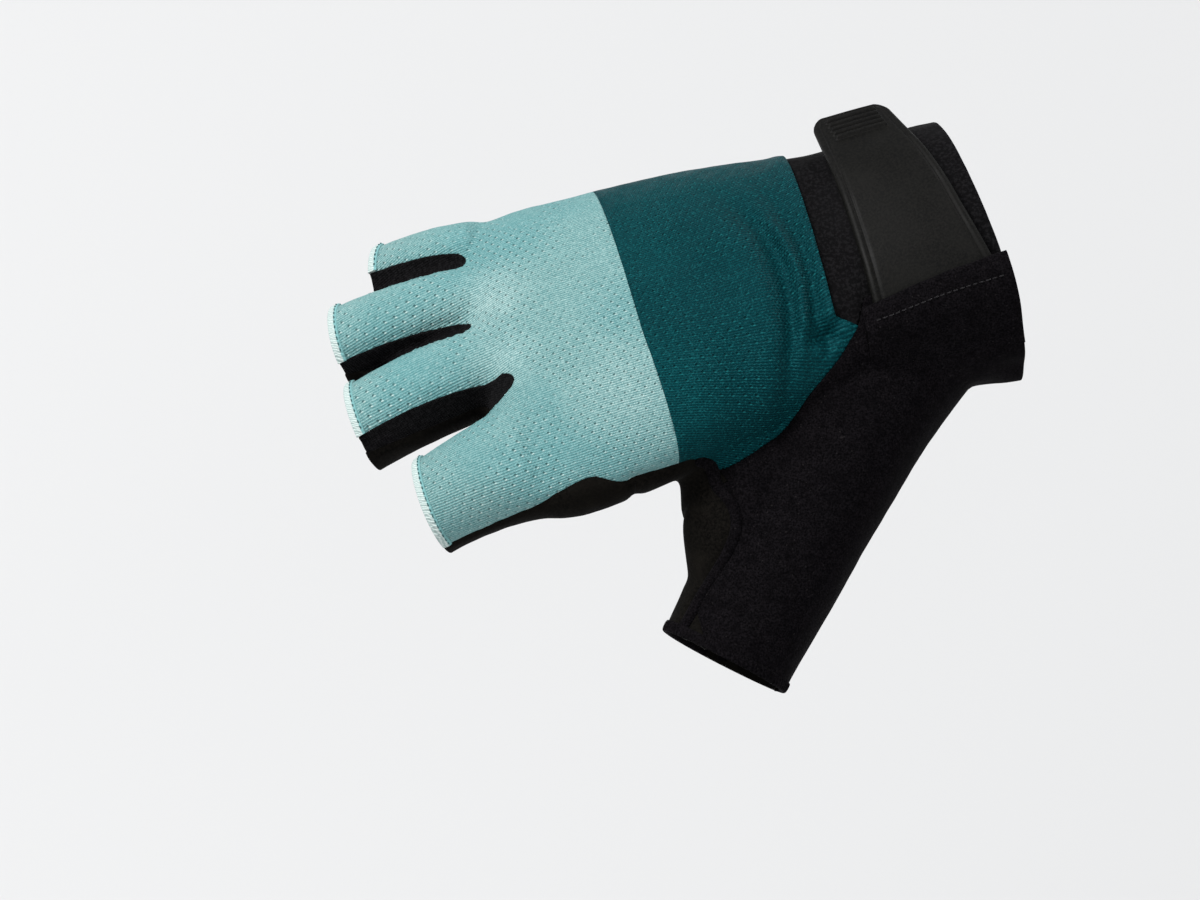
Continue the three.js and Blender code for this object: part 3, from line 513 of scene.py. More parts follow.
# %% [markdown]
# ## The finger ends
# Each stall ends in a flat cut, where its hem is sewn. A box could cut each one, but neighbouring
# stalls touch, and a box would bite into the next one. So each point first finds the stall that
# it lies on, by the nearest of several rings along it, and is measured from that stall's end. What
# a short stall runs out past its hem goes too where it touches a longer one.

# %% Distance past the hem
tube_shares = np.linspace(0, 1.1, 12)
hem_row = 10
run_out_margin, run_out_length = 1.08, 2.5


def out_from_middle(points, row):
    """How far points lie out from a stall's middle line, where its wall is 1."""
    centre, _, across, over, wide, deep = row
    away = points - centre
    return np.hypot(away @ across / wide, away @ over / deep)


def past_hem(points):
    """Distance beyond the hem of the finger or thumb stall that a point is on."""
    nearest = np.full(len(points), np.inf)
    past = np.full(len(points), -far)
    run_out = np.full(len(points), -far)
    tubes = [[stall_frame(name, share) for share in tube_shares] for name in stalls]
    tubes.append([thumb_frame(thumb_sections, share) for share in tube_shares])
    for rows in tubes:
        ahead = (points - rows[hem_row][0]) @ rows[hem_row][1]
        for row in rows:
            off = out_from_middle(points, row) + np.abs((points - row[0]) @ row[1]) / 5
            nearer = off < nearest
            nearest = np.where(nearer, off, nearest)
            past = np.where(nearer, ahead, past)
        on_end = out_from_middle(points, rows[hem_row]) < run_out_margin
        run_out = np.where(on_end & (ahead > 0) & (ahead < run_out_length), ahead, run_out)
    return np.maximum(past, run_out)


print("hem at share", round(float(tube_shares[hem_row]), 3), "of each stall")

# %% [markdown]
# ## Every distance in one table
# The web of the thumb is lined with suede up into the crease above it. That border lies on a steep
# wall, where a line drawn from above says little, so it has a small table of heights. Then all
# distances go into one table, a column each, because every panel needs several of them.

# %% The crease and the table of distances
hem_width, palm_seam_x = 2.2, -palm_cuff_length
# Lower edge of the back cloth on the wall above the web: place along the glove, height.
wall_edge = np.array([[-86.0, -2.9], [-75.0, -2.8], [-73.0, -3.2], [-71.5, -4.4], [-69.4, -6.3],
                      [-68.0, -7.2], [-65.4, -8.4]])
crease_width = 4.5
columns = ["above", "thumb", "gusset", "cuff", "dark", *strip_outlines, "hem", "palm_cuff"]


def web_crease(points):
    """Inside the crease between palm and web, which the suede web lines up to the corner."""
    x, y, z = points.T
    under_edge = np.interp(x, wall_edge[:, 0], wall_edge[:, 1]) - z
    between_ends = np.minimum(x - wall_edge[0, 0], wall_edge[-1, 0] - x)
    return np.minimum(np.minimum(under_edge, between_ends), crease_width - np.abs(y - corner[1]))


def fields(points):
    """Every distance of every point, one column each, in millimetres."""
    past_wall = np.maximum(points[:, 0] - wall_edge[4, 0], wall_edge[0, 0] / 2 - points[:, 1])
    return np.stack([
        points[:, 2] - side_seam_height(points),
        np.minimum(inside_distance(points, thumb_outline), past_wall),
        np.maximum(inside_distance(points, gusset_outline), web_crease(points)),
        inside_distance(points, cuff_outline),
        inside_distance(points, dark_outline),
        *[inside_distance(points, outline) for outline in strip_outlines.values()],
        past_hem(points),
        points[:, 0] - palm_seam_x,
    ], axis=1)


rest_fields = fields(form_points)
print("fields", dict(zip(columns, np.round(rest_fields.max(0), 1))))

# %% [markdown]
# ## Folds, puckers and seams pressed into the cloth
# Stretch cloth lies smooth over the knuckles and gathers where the wrist edge pulls it. The
# folds could come from a cloth simulation, but the photo shows where each one lies, and a
# simulation wouldn't put them there. So each fold is a soft ridge or valley along a curve, one
# row of a table each, and each seam is a narrow valley along an outline.

# %% Folds of the dark panel
# Columns: x on the middle line, y of the middle, curve, spread, reach along y, lift.
fold_rows = [
    (-37.4, -2.0, 0.0010, 1.3, 30, 0.65),
    (-40.3, -8.0, 0.0080, 1.5, 20, -1.10),
    (-42.6, -9.6, 0.0125, 1.5, 17, 1.60),
    (-45.6, -11.0, 0.0098, 2.2, 23, -1.60),
    (-51.0, -13.0, 0.0090, 4.0, 24, 1.05),
    (-60.0, 12.0, -0.0060, 5.0, 16, 0.30),
    (-88.0, 6.0, 0.0040, 5.0, 16, -0.35),
]


def fold_height(points):
    x, y = points[:, 0], points[:, 1]
    height = np.zeros(len(points))
    for middle_x, middle_y, curve, spread, reach, lift in fold_rows:
        line = middle_x - curve * (y - middle_y) ** 2
        height += lift * np.exp(-((x - line) / spread) ** 2) * np.exp(-((y - middle_y) / reach) ** 4)
    return height


print("folds", len(fold_rows), "from x", fold_rows[0][0], "to", fold_rows[-1][0], "mm")

# %% [markdown]
# ## The pucker
# At the corner beside the strap, the panel's edge is caught in the seam and the cloth is drawn
# into a small pit, with creases turning into it. Pinching it with a sculpting brush couldn't be
# repeated. A pit and a spiral of sine waves, both fading with distance, are repeated exactly.

# %% The pucker beside the strap
pucker_place = np.array([-39.2, -24.2])
pucker_depth, pucker_size = 3.1, 2.3


def pucker_height(points):
    """A small pit where the corner of the cloth is drawn in, with creases turning into it."""
    away = points[:, :2] - pucker_place
    reach = np.hypot(away[:, 0], away[:, 1])
    turn = np.arctan2(away[:, 1], away[:, 0])
    creases = np.sin(5 * turn + 0.35 * reach) * np.exp(-((reach - 5) / 4) ** 2)
    return -pucker_depth * np.exp(-(reach / pucker_size) ** 2) + 0.42 * creases


print("pucker", pucker_depth, "mm deep")

# %% [markdown]
# ## Soft unevenness
# Worn cloth is never quite even. A displacement texture could do it, but its pattern would depend
# on Blender's version, so a few crossing waves with a fixed seed are summed instead.

# %% Unevenness of worn cloth
def ripple(points, scale, seed):
    """Smooth noise from a few crossing waves, about -1 to 1."""
    draw = np.random.default_rng(seed)
    total = np.zeros(len(points))
    for _ in range(9):
        direction = draw.normal(size=3)
        total += np.sin(points @ direction / np.linalg.norm(direction) * 2 * math.pi / scale
                        * draw.uniform(0.7, 1.4) + draw.uniform(0, 7))
    return total / 4.5


# %% [markdown]
# ## Pressing the seams in
# A sewn seam pulls the cloth down to a narrow valley, and the strips between the fingers lie lower
# than the back. Modelling each valley would need new edges along it. The mesh is fine enough to be
# pushed along its normals instead, by a curve of the distance to each outline.

# %% Press everything into the form
cell = dict(zip(columns, rest_fields.T))
on_back = smooth_step(cell["above"], -1, 3)
off_thumb = smooth_step(-cell["thumb"], -1, 2.5)


def valley(distance, width, depth):
    pucker = 1 + 0.35 * ripple(form_points, 5.5, 3)
    return -depth * pucker * np.exp(-(distance / width) ** 2)


push = (fold_height(form_points) + pucker_height(form_points)) * on_back * off_thumb
push += 0.10 * ripple(form_points, 14, 1) + 0.05 * ripple(form_points, 6, 2)
off_web = smooth_step(form_points[:, 0], -80, -60) * (cell["gusset"] < 0)
push += valley(cell["thumb"], 1.1, 0.45) * on_back * off_web
push += valley(cell["gusset"], 1.4, 0.7)
sewn_side = (cell["palm_cuff"] < 0) * smooth_step(-cell["gusset"], -2, 0)
push += valley(cell["above"], 1.0, 0.45) * sewn_side
push += valley(cell["palm_cuff"], 1.0, 0.45) * (cell["above"] < 1)
for name in strip_outlines:
    push += valley(cell[name], 0.9, 0.4) * on_back * (cell[name] < 0)
    push -= 0.75 * smooth_step(cell[name], -0.3, 1.2) * on_back

form_normals = normals_of(form_points, form_triangles)
form_points = form_points + push[:, None] * form_normals
form_points = pull(form_points, pairs, 0.35)
form_normals = normals_of(form_points, form_triangles)
print("pressed in by", round(float(-push.min()), 2), "and out by", round(float(push.max()), 2), "mm")

# %% [markdown]
# ## Cutting the panels
# Cutting along the mesh's own edges would leave a ragged border. Instead each triangle that the
# border crosses is cut through, at the place where its distance is zero. A panel is cut by one
# zone after another, and its cut edges line up with the next panel's, as sewn cloth does.

# %% Cut a sheet where a distance is zero
# One row for each point: position, normal, then the fields.
form_table = np.concatenate([form_points, form_normals, rest_fields], axis=1)
field_start, panel_gap = 6, 0.03
print("table of", form_table.shape)


def column(table, name):
    return table[:, field_start + columns.index(name)]


def cut_sheet(table, triangles, values):
    """Keeps the part of a triangle sheet where the values are above zero."""
    inside = values > 0
    count = inside[triangles].sum(1)
    crossed = triangles[(count == 1) | (count == 2)]
    odd = inside[crossed] == (inside[crossed].sum(1) == 1)[:, None]
    order = (odd.argmax(1)[:, None] + np.arange(3)) % 3
    a, b, c = np.take_along_axis(crossed, order, axis=1).T
    ends = np.sort(np.concatenate([np.stack([a, b], 1), np.stack([a, c], 1)]), axis=1)
    ends, where = np.unique(ends, axis=0, return_inverse=True)
    where = where.reshape(-1)
    share = (values[ends[:, 0]] / (values[ends[:, 0]] - values[ends[:, 1]]))[:, None]
    table = np.concatenate([table, table[ends[:, 0]] * (1 - share) + table[ends[:, 1]] * share])
    ab, ac = len(values) + where[:len(a)], len(values) + where[len(a):]
    lone = inside[a]
    triangles = np.concatenate([
        triangles[count == 3],
        np.stack([a, ab, ac], 1)[lone],
        np.stack([ab, b, c], 1)[~lone],
        np.stack([ab, c, ac], 1)[~lone]])
    used, triangles = np.unique(triangles, return_inverse=True)
    return table[used], triangles.reshape(-1, 3)


def cut_panel(*zones):
    """Cuts a panel by zones: name, 1 for inside or -1 for outside, and distance from the line."""
    table, triangles = form_table, form_triangles
    for name, side, *distance in zones:
        values = side * column(table, name) - (distance[0] if distance else panel_gap)
        table, triangles = cut_sheet(table, triangles, values)
    return table, triangles


# %% Cut every panel
above, under = ("above", 1), ("above", -1)
off_strips = [(name, -1) for name in strip_outlines]
off_hems = ("hem", -1, hem_width - 0.5)
panels = {
    "back_light": cut_panel(above, ("dark", -1, 0), ("thumb", -1), ("gusset", -1), *off_strips,
                            off_hems),
    "back_dark": cut_panel(above, ("dark", 1, 0), ("thumb", -1), ("gusset", -1), ("cuff", -1)),
    "thumb_panel": cut_panel(above, ("thumb", 1), ("gusset", -1), off_hems),
    "thumb_gusset": cut_panel(("gusset", 1), off_hems),
    "palm_panel": cut_panel(under, ("gusset", -1), ("palm_cuff", -1), ("hem", -1, 0)),
}
for name in strip_outlines:
    panels["fourchette_" + name] = cut_panel(above, (name, 1), ("hem", -1, 0.3))
cuff_limit = np.where(cell["above"] > 0, np.minimum(cell["cuff"], -cell["thumb"]), cell["palm_cuff"])
panels["cuff_band"] = cut_sheet(form_table, form_triangles, cuff_limit - panel_gap)
for name, (table, triangles) in panels.items():
    print(name, len(triangles), "triangles")

# %% [markdown]
# ## Sewing the panels up
# Each cut sheet becomes an object. It is laid flat first, as the pattern piece that it was, so
# that the knit runs straight along the glove, and one unit of its map is one millimetre. A map
# projected from above would stretch the knit down the sides. Then the sheet gets its thickness,
# inwards, because the frame's surface is the outside of the cloth.

# %% Lay a panel flat
pieces = {}
map_shift = 200  # keeps every place on a map above zero


def lay_flat(thing):
    """Unwraps a sheet, then scales and turns its map to millimetres along and across the glove."""
    bpy.context.view_layer.objects.active = thing
    thing.select_set(True)
    bpy.ops.object.mode_set(mode="EDIT")
    bpy.ops.mesh.select_all(action="SELECT")
    bpy.ops.uv.unwrap(method="CONFORMAL", margin=0)
    bpy.ops.object.mode_set(mode="OBJECT")
    thing.select_set(False)
    mesh = thing.data
    flat = np.empty(len(mesh.loops) * 2)
    mesh.uv_layers.active.data.foreach_get("uv", flat)
    flat = flat.reshape(-1, 2)
    corner_of = np.empty(len(mesh.loops), int)
    mesh.loops.foreach_get("vertex_index", corner_of)
    places = np.empty(len(mesh.vertices) * 3)
    mesh.vertices.foreach_get("co", places)
    places = places.reshape(-1, 3)[corner_of] / MILLIMETRE
    a, b, c = flat[0::3], flat[1::3], flat[2::3]
    flat_area = np.cross(b - a, c - a).sum() / 2
    p, q, r = places[0::3], places[1::3], places[2::3]
    true_area = np.linalg.norm(np.cross(q - p, r - p), axis=1).sum() / 2
    if flat_area < 0:
        flat = flat * (-1, 1)
    flat = (flat - flat.mean(0)) * math.sqrt(true_area / abs(flat_area))
    toward = np.stack([-places[:, 0], -places[:, 1]], axis=1)
    spread = (toward - toward.mean(0)).T @ flat
    angle = math.atan2(spread[0, 1] - spread[1, 0], spread[0, 0] + spread[1, 1])
    turn = np.array([[math.cos(angle), -math.sin(angle)], [math.sin(angle), math.cos(angle)]])
    mesh.uv_layers.active.data.foreach_set("uv", (flat @ turn + map_shift).ravel())


# %% Give a panel its thickness
def sew(name, table, triangles, thickness, lift=0.0):
    """Makes one panel, lifted along its normals, with its thickness inwards."""
    places = table[:, :3] + np.asarray(lift).reshape(-1, 1) * table[:, 3:6]
    thing = link(name + "_cloth", new_mesh(name + "_cloth", places, triangles))
    thing.data.shade_smooth()
    lay_flat(thing)
    wall = thing.modifiers.new("thickness", "SOLIDIFY")
    wall.thickness = thickness * MILLIMETRE
    wall.offset = -1
    wall.use_rim = True
    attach(thing, "root")
    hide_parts(name)
    pieces[name] = thing
    print(thing.name, len(triangles), "triangles,", thickness, "mm thick")


# %% [markdown]
# ## How each panel lies
# The dark panel's wrist edge and the thumb panel lie over the cuff, so the cuff is set a little
# in beneath them. The thumb panel rises over the foot of the strap, and its wrist edge waves.
# Panels that only touch would look printed on, so these lifts are small but real.

# %% Sew the panels
cuff_sink, thumb_over, dark_over = 0.55, 0.35, 0.30
knit_wall, band_wall, suede_wall, brushed_wall = 0.9, 0.9, 1.1, 1.2
table, triangles = panels["cuff_band"]
cuff_table, cuff_triangles = cut_sheet(table, triangles, -(table[:, 0] + wrist_slant * table[:, 1]))
sink = -cuff_sink * smooth_step(column(cuff_table, "above"), -1.5, 1.5)
sew("cuff_band", cuff_table, cuff_triangles, band_wall, sink + 0.10 * ripple(cuff_table[:, :3], 7, 5))

table, triangles = panels["thumb_panel"]
thumb_table, thumb_triangles = cut_sheet(table, triangles, -(table[:, 0] + wrist_slant * table[:, 1]))
edge_wave = 0.5 * ripple(thumb_table[:, :3], 11, 8) * smooth_step(thumb_table[:, 0], -14, 0)
near_front = 1 - smooth_step(column(thumb_table, "thumb"), 0, 6)
thumb_lift = thumb_over * near_front + edge_wave
thumb_places = thumb_table[:, :3] + thumb_lift[:, None] * thumb_table[:, 3:6]
sew("thumb_panel", thumb_table, thumb_triangles, brushed_wall, thumb_lift)

table, triangles = panels["back_dark"]
near_cuff = 1 - smooth_step(-column(table, "cuff"), 0, 5)
sew("back_dark", table, triangles, knit_wall, dark_over * near_cuff)
sew("back_light", *panels["back_light"], knit_wall)
sew("thumb_gusset", *panels["thumb_gusset"], suede_wall)
sew("palm_panel", *panels["palm_panel"], suede_wall)
for name in strip_outlines:
    sew("fourchette_" + name, *panels["fourchette_" + name], band_wall)

# %% [markdown]
# ## The closure strap
# The strap is a bonded, smooth tab. It follows the wrist, then its free end stands off straight.
# Its section has rounded edges and a pressed groove along them, where the two layers are bonded,
# and five grip ribs are raised near the rounded tip. A bevelled box bent by modifiers could do,
# but its width, taper and ribs would then hang on one another. A fine grid over these rules gives
# it all, and each rule has its own size.

# %% Strap shape
strap_thickness, strap_base_width, strap_tip_width, strap_tip_length = 2.0, 27.5, 18.5, 15.0
strap_inset, strap_tip_radius, strap_curved = 1.5, 4.0, 0.72
strap_foot, strap_foot_slant, strap_leave = math.radians(129), math.radians(9), math.radians(57)
rib_count, rib_pitch, rib_width, rib_height, rib_length, rib_margin = 5, 1.7, 1.0, 0.75, 12.5, 3.0
groove_depth, groove_inset, groove_width = 0.28, 1.9, 0.35
seam_gap = 0.3


def wrist_point(along, angle, lift):
    return palm_ring(along, np.array([angle]), lift)[0]


def strap_point(share, across, lift):
    """A point of the strap: share along it, across from its finger side, lift above the cloth."""
    wrist_side = -strap_inset - share * (strap_base_width - strap_tip_width)
    finger_side = -strap_inset - strap_base_width
    along = -(finger_side + (wrist_side - finger_side) * across) / palm_length
    foot = strap_foot + strap_foot_slant * (1 - across)
    angle = foot + (strap_leave - foot) * min(share / strap_curved, 1)
    point = wrist_point(along, angle, lift)
    free = max(share - strap_curved, 0) / (1 - strap_curved)
    if free > 0:
        way = unit(point - wrist_point(along, angle + 0.08, lift))
        point = point + way * free * strap_tip_length
    return point


def strap_width(share):
    return strap_base_width - share * (strap_base_width - strap_tip_width)


print("strap tip at", np.round(strap_point(1, 0.5, 0), 1))

# %% [markdown]
# ## The strap's edges and ribs
# Heat and pressure bond the two layers of the strap, which leaves the groove beside its edges, and
# the ribs are moulded on. Bump could fake both, but they show at the outline of the tip. So the
# top of the section is raised and lowered by real amounts.

# %% Strap surface
def strap_body():
    """A closed loop of points round the section at many shares, ending in the rounded tip."""
    shares = np.concatenate([np.linspace(0, strap_curved, 60, endpoint=False),
                             np.linspace(strap_curved, 1, 110)])
    side_steps, edge_steps = 90, 8
    rings = []
    for share in shares:
        from_tip = max((1 - share) / (1 - strap_curved) * strap_tip_length, 0.02)
        into_round = max(strap_tip_radius - from_tip, 0)
        trim = (strap_tip_radius - math.sqrt(strap_tip_radius**2 - into_round**2)) / strap_width(share)
        width = strap_width(share) * (1 - 2 * trim)
        edge = min(strap_thickness / 2, from_tip + 0.3)
        ring = []
        for side in (1, -1):
            for i in range(side_steps):
                t = i / (side_steps - 1)
                reach = edge + (width - 2 * edge) * (t if side == 1 else 1 - t)
                place = trim + reach / strap_width(share)
                lift = side * edge_lift(reach, width, from_tip, side)
                ring.append(strap_point(share, place, seam_gap + strap_thickness / 2 + lift))
            for i in range(1, edge_steps):
                turn = math.pi * i / edge_steps
                reach = (width - edge if side == 1 else edge) + side * edge * math.sin(turn)
                place = trim + reach / strap_width(share)
                lift = side * edge * math.cos(turn) * min(1, from_tip + 0.3)
                ring.append(strap_point(share, place, seam_gap + strap_thickness / 2 + lift))
        rings.append(np.array(ring))
    return rings


# %% Groove and ribs of the strap
def edge_lift(reach, width, from_tip, side):
    """Half thickness, with the bonded groove, the grip ribs and the thin end of the tip."""
    lift = strap_thickness / 2 * min(1, math.sqrt(min(from_tip + 0.3, 1)))
    if side == -1:
        return lift
    border = min(reach, width - reach, from_tip)
    lift -= groove_depth * math.exp(-((border - groove_inset) / groove_width) ** 2)
    if abs(reach - width / 2) < rib_length / 2 + 1:
        ends = float(smooth_step(rib_length / 2 - abs(reach - width / 2), -0.3, 0.5))
        for i in range(rib_count):
            away = abs(from_tip - rib_margin - i * rib_pitch)
            rib = float(1 - smooth_step(away, 0.25 * rib_width, 0.62 * rib_width))
            lift += rib_height * ends * rib
    return lift


strap_vertices, strap_faces = tube(strap_body())
strap = link("closure_strap_tab", new_mesh("closure_strap_tab", strap_vertices, strap_faces))
strap.data.shade_smooth()
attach(strap, "root")
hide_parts("closure_strap")
pieces["closure_strap"] = strap
print("strap faces", len(strap_faces))

# %% [markdown]
# ## The folded edge over the strap's foot
# The thumb panel's front edge is folded, stitched, and laps over the foot of the strap. It is
# its own piece on the real pattern as well. It starts above the strap with a round, doubled edge
# and comes down until it runs into the thumb panel. A strip with a thickness would keep one
# height all over, so top and underside are two surfaces here, which meet at the low side.

# %% Surface of the folded edge
fold_top_angles, fold_low_angle, fold_thickness = (128.5, 118), 165, 1.7
fold_from, fold_to = -strap_inset - strap_base_width - 2.4, 0.15
cloth_tree = BVHTree.FromPolygons((thumb_places * MILLIMETRE).tolist(), thumb_triangles.tolist())


def fold_surface(share_x, share_round, side):
    """A point of the folded edge: side 1 is its top, -1 its underside."""
    top_angle = fold_top_angles[0] + (fold_top_angles[1] - fold_top_angles[0]) * share_x
    angle = math.radians(top_angle + (fold_low_angle - top_angle) * share_round)
    x = fold_from + (fold_to - fold_from) * share_x
    down = float(smooth_step(share_round, 0.10, 1.0))
    ends = float(smooth_step(share_x, -0.05, 0.20))
    rise = (2 * seam_gap + strap_thickness) * ends + 0.4 * (1 - ends)
    top = (rise + fold_thickness * (0.6 + 0.4 * ends)) * (1 - down) + 0.10 * down
    top += 0.12 * math.sin(share_x * 23) * (1 - down)
    under = rise * (1 - down) - 0.6 * down
    place = wrist_point(-x / palm_length, angle, 0)
    outward = unit(wrist_point(-x / palm_length, angle, 1) - place)
    hit, normal, _, _ = cloth_tree.find_nearest(Vector(place) * MILLIMETRE)
    cloth_lift = (np.array(hit) / MILLIMETRE - place) @ outward
    follow = float(smooth_step(share_round, 0.25, 0.6))
    return place + outward * ((top if side == 1 else under) + cloth_lift * follow)


# %% Folded edge
def folded_edge():
    rings, columns_x, rows_round, edge_steps = [], 90, 70, 10
    for i in range(columns_x + 1):
        share_x = i / columns_x
        top = [fold_surface(share_x, j / rows_round, 1) for j in range(rows_round + 1)]
        under = [fold_surface(share_x, j / rows_round, -1) for j in range(rows_round, -1, -1)]
        middle, radius = (top[0] + under[-1]) / 2, (top[0] - under[-1]) / 2
        out = unit(top[0] - top[1]) * np.linalg.norm(radius)
        edge = [middle - radius * math.cos(t) + out * math.sin(t)
                for t in np.linspace(0, math.pi, edge_steps + 1)[1:-1]]
        rings.append(np.array(top + under + edge))
    return rings


fold_vertices, fold_faces = tube(folded_edge())
fold_piece = link("cuff_fold_edge", new_mesh("cuff_fold_edge", fold_vertices, fold_faces))
fold_piece.data.shade_smooth()
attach(fold_piece, "root")
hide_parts("cuff_fold")
pieces["cuff_fold"] = fold_piece
print("folded edge faces", len(fold_faces))

# %% [markdown]
# ## Hems of the fingers and the thumb
# A finger hem is the cloth's edge rolled over and overlocked with thread. A plain torus wouldn't
# follow the stall, so each hem is a rounded bead run round the stall's own section. It carries the
# thread as slanting bumps, about one to a millimetre. The four finger hems lie on the back cloth
# alone. The thumb's goes all the way round.

# %% Hem bead
hem_stand, hem_inside, thread_pitch = 0.42, 1.15, 1.05
bead_steps, bead_rings, bead_power = 22, 720, 0.7
shortest_run = 12


def squared(value):
    """Makes a round section fuller, as a rolled hem is."""
    return math.copysign(abs(value) ** bead_power, value)


def hem_bead(frame_at, share_per_mm, allowed, power, thread_height):
    """Rings of a rounded bead along the angles that are allowed."""
    rings = []
    for angle in np.linspace(0, 2 * math.pi, bead_rings + 1)[:-1]:
        ring = []
        for turn in np.linspace(0, 2 * math.pi, bead_steps, endpoint=False):
            along = -hem_width / 2 + hem_width / 2 * squared(math.cos(turn))
            centre, slope, across, over, wide, deep = frame_at(1 + along * share_per_mm)
            outward = hem_stand if math.sin(turn) > 0 else hem_inside
            lift = outward * squared(math.sin(turn))
            slant = angle * (wide + deep) / 2 / thread_pitch + along / hem_width
            lift += thread_height * math.cos(2 * math.pi * slant) * max(math.sin(turn), 0)
            deep += lift
            point = section_ring(centre, across, over, wide + lift, deep, deep, np.array([angle]), power)
            ring.append(point[0])
        rings.append(np.array(ring))
    middles = np.array([ring.mean(0) for ring in rings])
    return rings, allowed(middles)


print("hem", hem_width, "mm wide, thread every", thread_pitch, "mm")


# %% Where a bead runs
def runs_of(flags):
    """First and last index of each stretch of true flags round a circle."""
    if flags.all():
        return [(0, len(flags) - 1)]
    starts = np.flatnonzero(flags & ~np.roll(flags, 1))
    count = len(flags)
    ends = [next(s + i for i in range(count) if not flags[(s + i + 1) % count]) for s in starts]
    return list(zip(starts, ends))


def closed_bead(rings):
    """Vertices and faces of a bead that runs all the way round."""
    count, steps = len(rings), len(rings[0])
    faces = []
    for i in range(count):
        here, ahead = i * steps, (i + 1) % count * steps
        for j in range(steps):
            k = (j + 1) % steps
            faces.append((here + j, here + k, ahead + k, ahead + j))
    return np.concatenate(rings), faces


# %% A bead as an object
def bead_object(name, rings, flags):
    vertices, faces, start = [], [], 0
    for first, last in runs_of(flags):
        if last - first < shortest_run:
            continue
        run = [rings[i % len(rings)] for i in range(first, last + 1)]
        part_vertices, part_faces = closed_bead(run) if flags.all() else tube(run)
        vertices.append(part_vertices)
        faces.extend([tuple(i + start for i in face) for face in part_faces])
        start += len(part_vertices)
    thing = link(name + "_bead", new_mesh(name + "_bead", np.concatenate(vertices), faces))
    thing.data.shade_smooth()
    turns = 2 * math.pi * (np.arange(len(thing.data.vertices)) % bead_steps) / bead_steps
    inland = hem_width / 2 * (1 - np.sign(np.cos(turns)) * np.abs(np.cos(turns)) ** bead_power)
    corners = np.empty(len(thing.data.loops), int)
    thing.data.loops.foreach_get("vertex_index", corners)
    flat = np.stack([inland[corners], turns[corners]], axis=1)
    thing.data.uv_layers.new(name="flat").data.foreach_set("uv", flat.ravel())
    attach(thing, "root")
    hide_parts(name)
    pieces[name] = thing
    print(thing.name, len(faces), "faces")


# %% [markdown]
# ## Making the hems
# Each bead is asked where it may lie: a finger's only over the back cloth, and never over a black
# strip. The rings that lie elsewhere are dropped, which ends the bead as a cut hem ends.

# %% Make the hems
def on_the_back(middles):
    here = dict(zip(columns, fields(middles).T))
    clear = here["above"] > 0.3
    for strip in strip_outlines:
        clear &= here[strip] < -0.2
    return clear


for name, row in stalls.items():
    span = np.linalg.norm(stall_frame(name, 1)[0] - stall_frame(name, 0)[0])
    rings, flags = hem_bead(lambda share, n=name: stall_frame(n, share), 1 / span, on_the_back,
                            stall_power, 0.07)
    bead_object("hem_" + name, rings, flags)
rings, flags = hem_bead(lambda share: thumb_frame(thumb_sections, share), 1 / thumb_reach,
                        lambda middles: np.ones(len(middles), bool), thumb_power, 0.10)
bead_object("hem_thumb", rings, flags)

# %% [markdown]
# ## The bound seam round the web of the thumb
# Where the suede web meets the thumb panel, both edges are turned out and bound with thread, so
# the seam stands up as a soft ridge. A bevelled curve could draw it, but would sink in where the
# cloth bends. So its path is dropped from above onto the finished form, and a half-round bead with
# thread bumps follows it.

# %% Drop a path onto the form
form_tree = BVHTree.FromPolygons((form_points * MILLIMETRE).tolist(), form_triangles.tolist())


def top_of_form(x, y):
    """The highest point of the form over a place, with its normal, in millimetres."""
    hit, normal, _, _ = form_tree.ray_cast(Vector((x, y, 100)) * MILLIMETRE, Vector((0, 0, -1)))
    return (None, None) if hit is None else (np.array(hit) / MILLIMETRE, np.array(normal))


def walk(line, step):
    """Points along a line at even steps."""
    line = np.asarray(line, float)
    lengths = np.concatenate([[0], np.cumsum(np.linalg.norm(np.diff(line, axis=0), axis=1))])
    places = np.arange(0, lengths[-1], step)
    return np.stack([np.interp(places, lengths, line[:, k]) for k in range(line.shape[1])], axis=1)


print("form to drop onto", len(form_triangles), "triangles")

# %% Path of the bound seam
path_step, path_rounds, start_gap, hem_clear = 0.25, 40, 1.5, 0.8
wall_start = np.array([[-72.0, -38.8, -3.9], [-69.4, -38.4, -6.3], [-67.6, -39.8, -7.4]])
path_points, path_normals = [], []
for place in walk(wall_start, path_step):
    hit, normal, _, _ = form_tree.find_nearest(Vector(place) * MILLIMETRE)
    path_points.append(np.array(hit) / MILLIMETRE)
    path_normals.append(np.array(normal))
for x, y in walk(rounded(gusset_line[past_corner - 1:], 1), path_step):
    if y > wall_start[-1][1] - start_gap:
        continue
    point, normal = top_of_form(x, y)
    if point is None:
        continue
    if past_hem(point[None])[0] > -hem_clear:
        break
    path_points.append(point)
    path_normals.append(normal)
path_points, path_normals = np.array(path_points), np.array(path_normals)
for _ in range(path_rounds):
    path_points[1:-1] = (path_points[:-2] + 2 * path_points[1:-1] + path_points[2:]) / 4
    path_normals[1:-1] = (path_normals[:-2] + 2 * path_normals[1:-1] + path_normals[2:]) / 4
print("bound seam", round(len(path_points) * path_step), "mm long")

# %% Bound seam
bind_width, bind_height, bind_pitch, bind_bump = 2.9, 1.25, 1.1, 0.09
bind_steps, bind_taper, bind_rise = 26, 6, 0.05


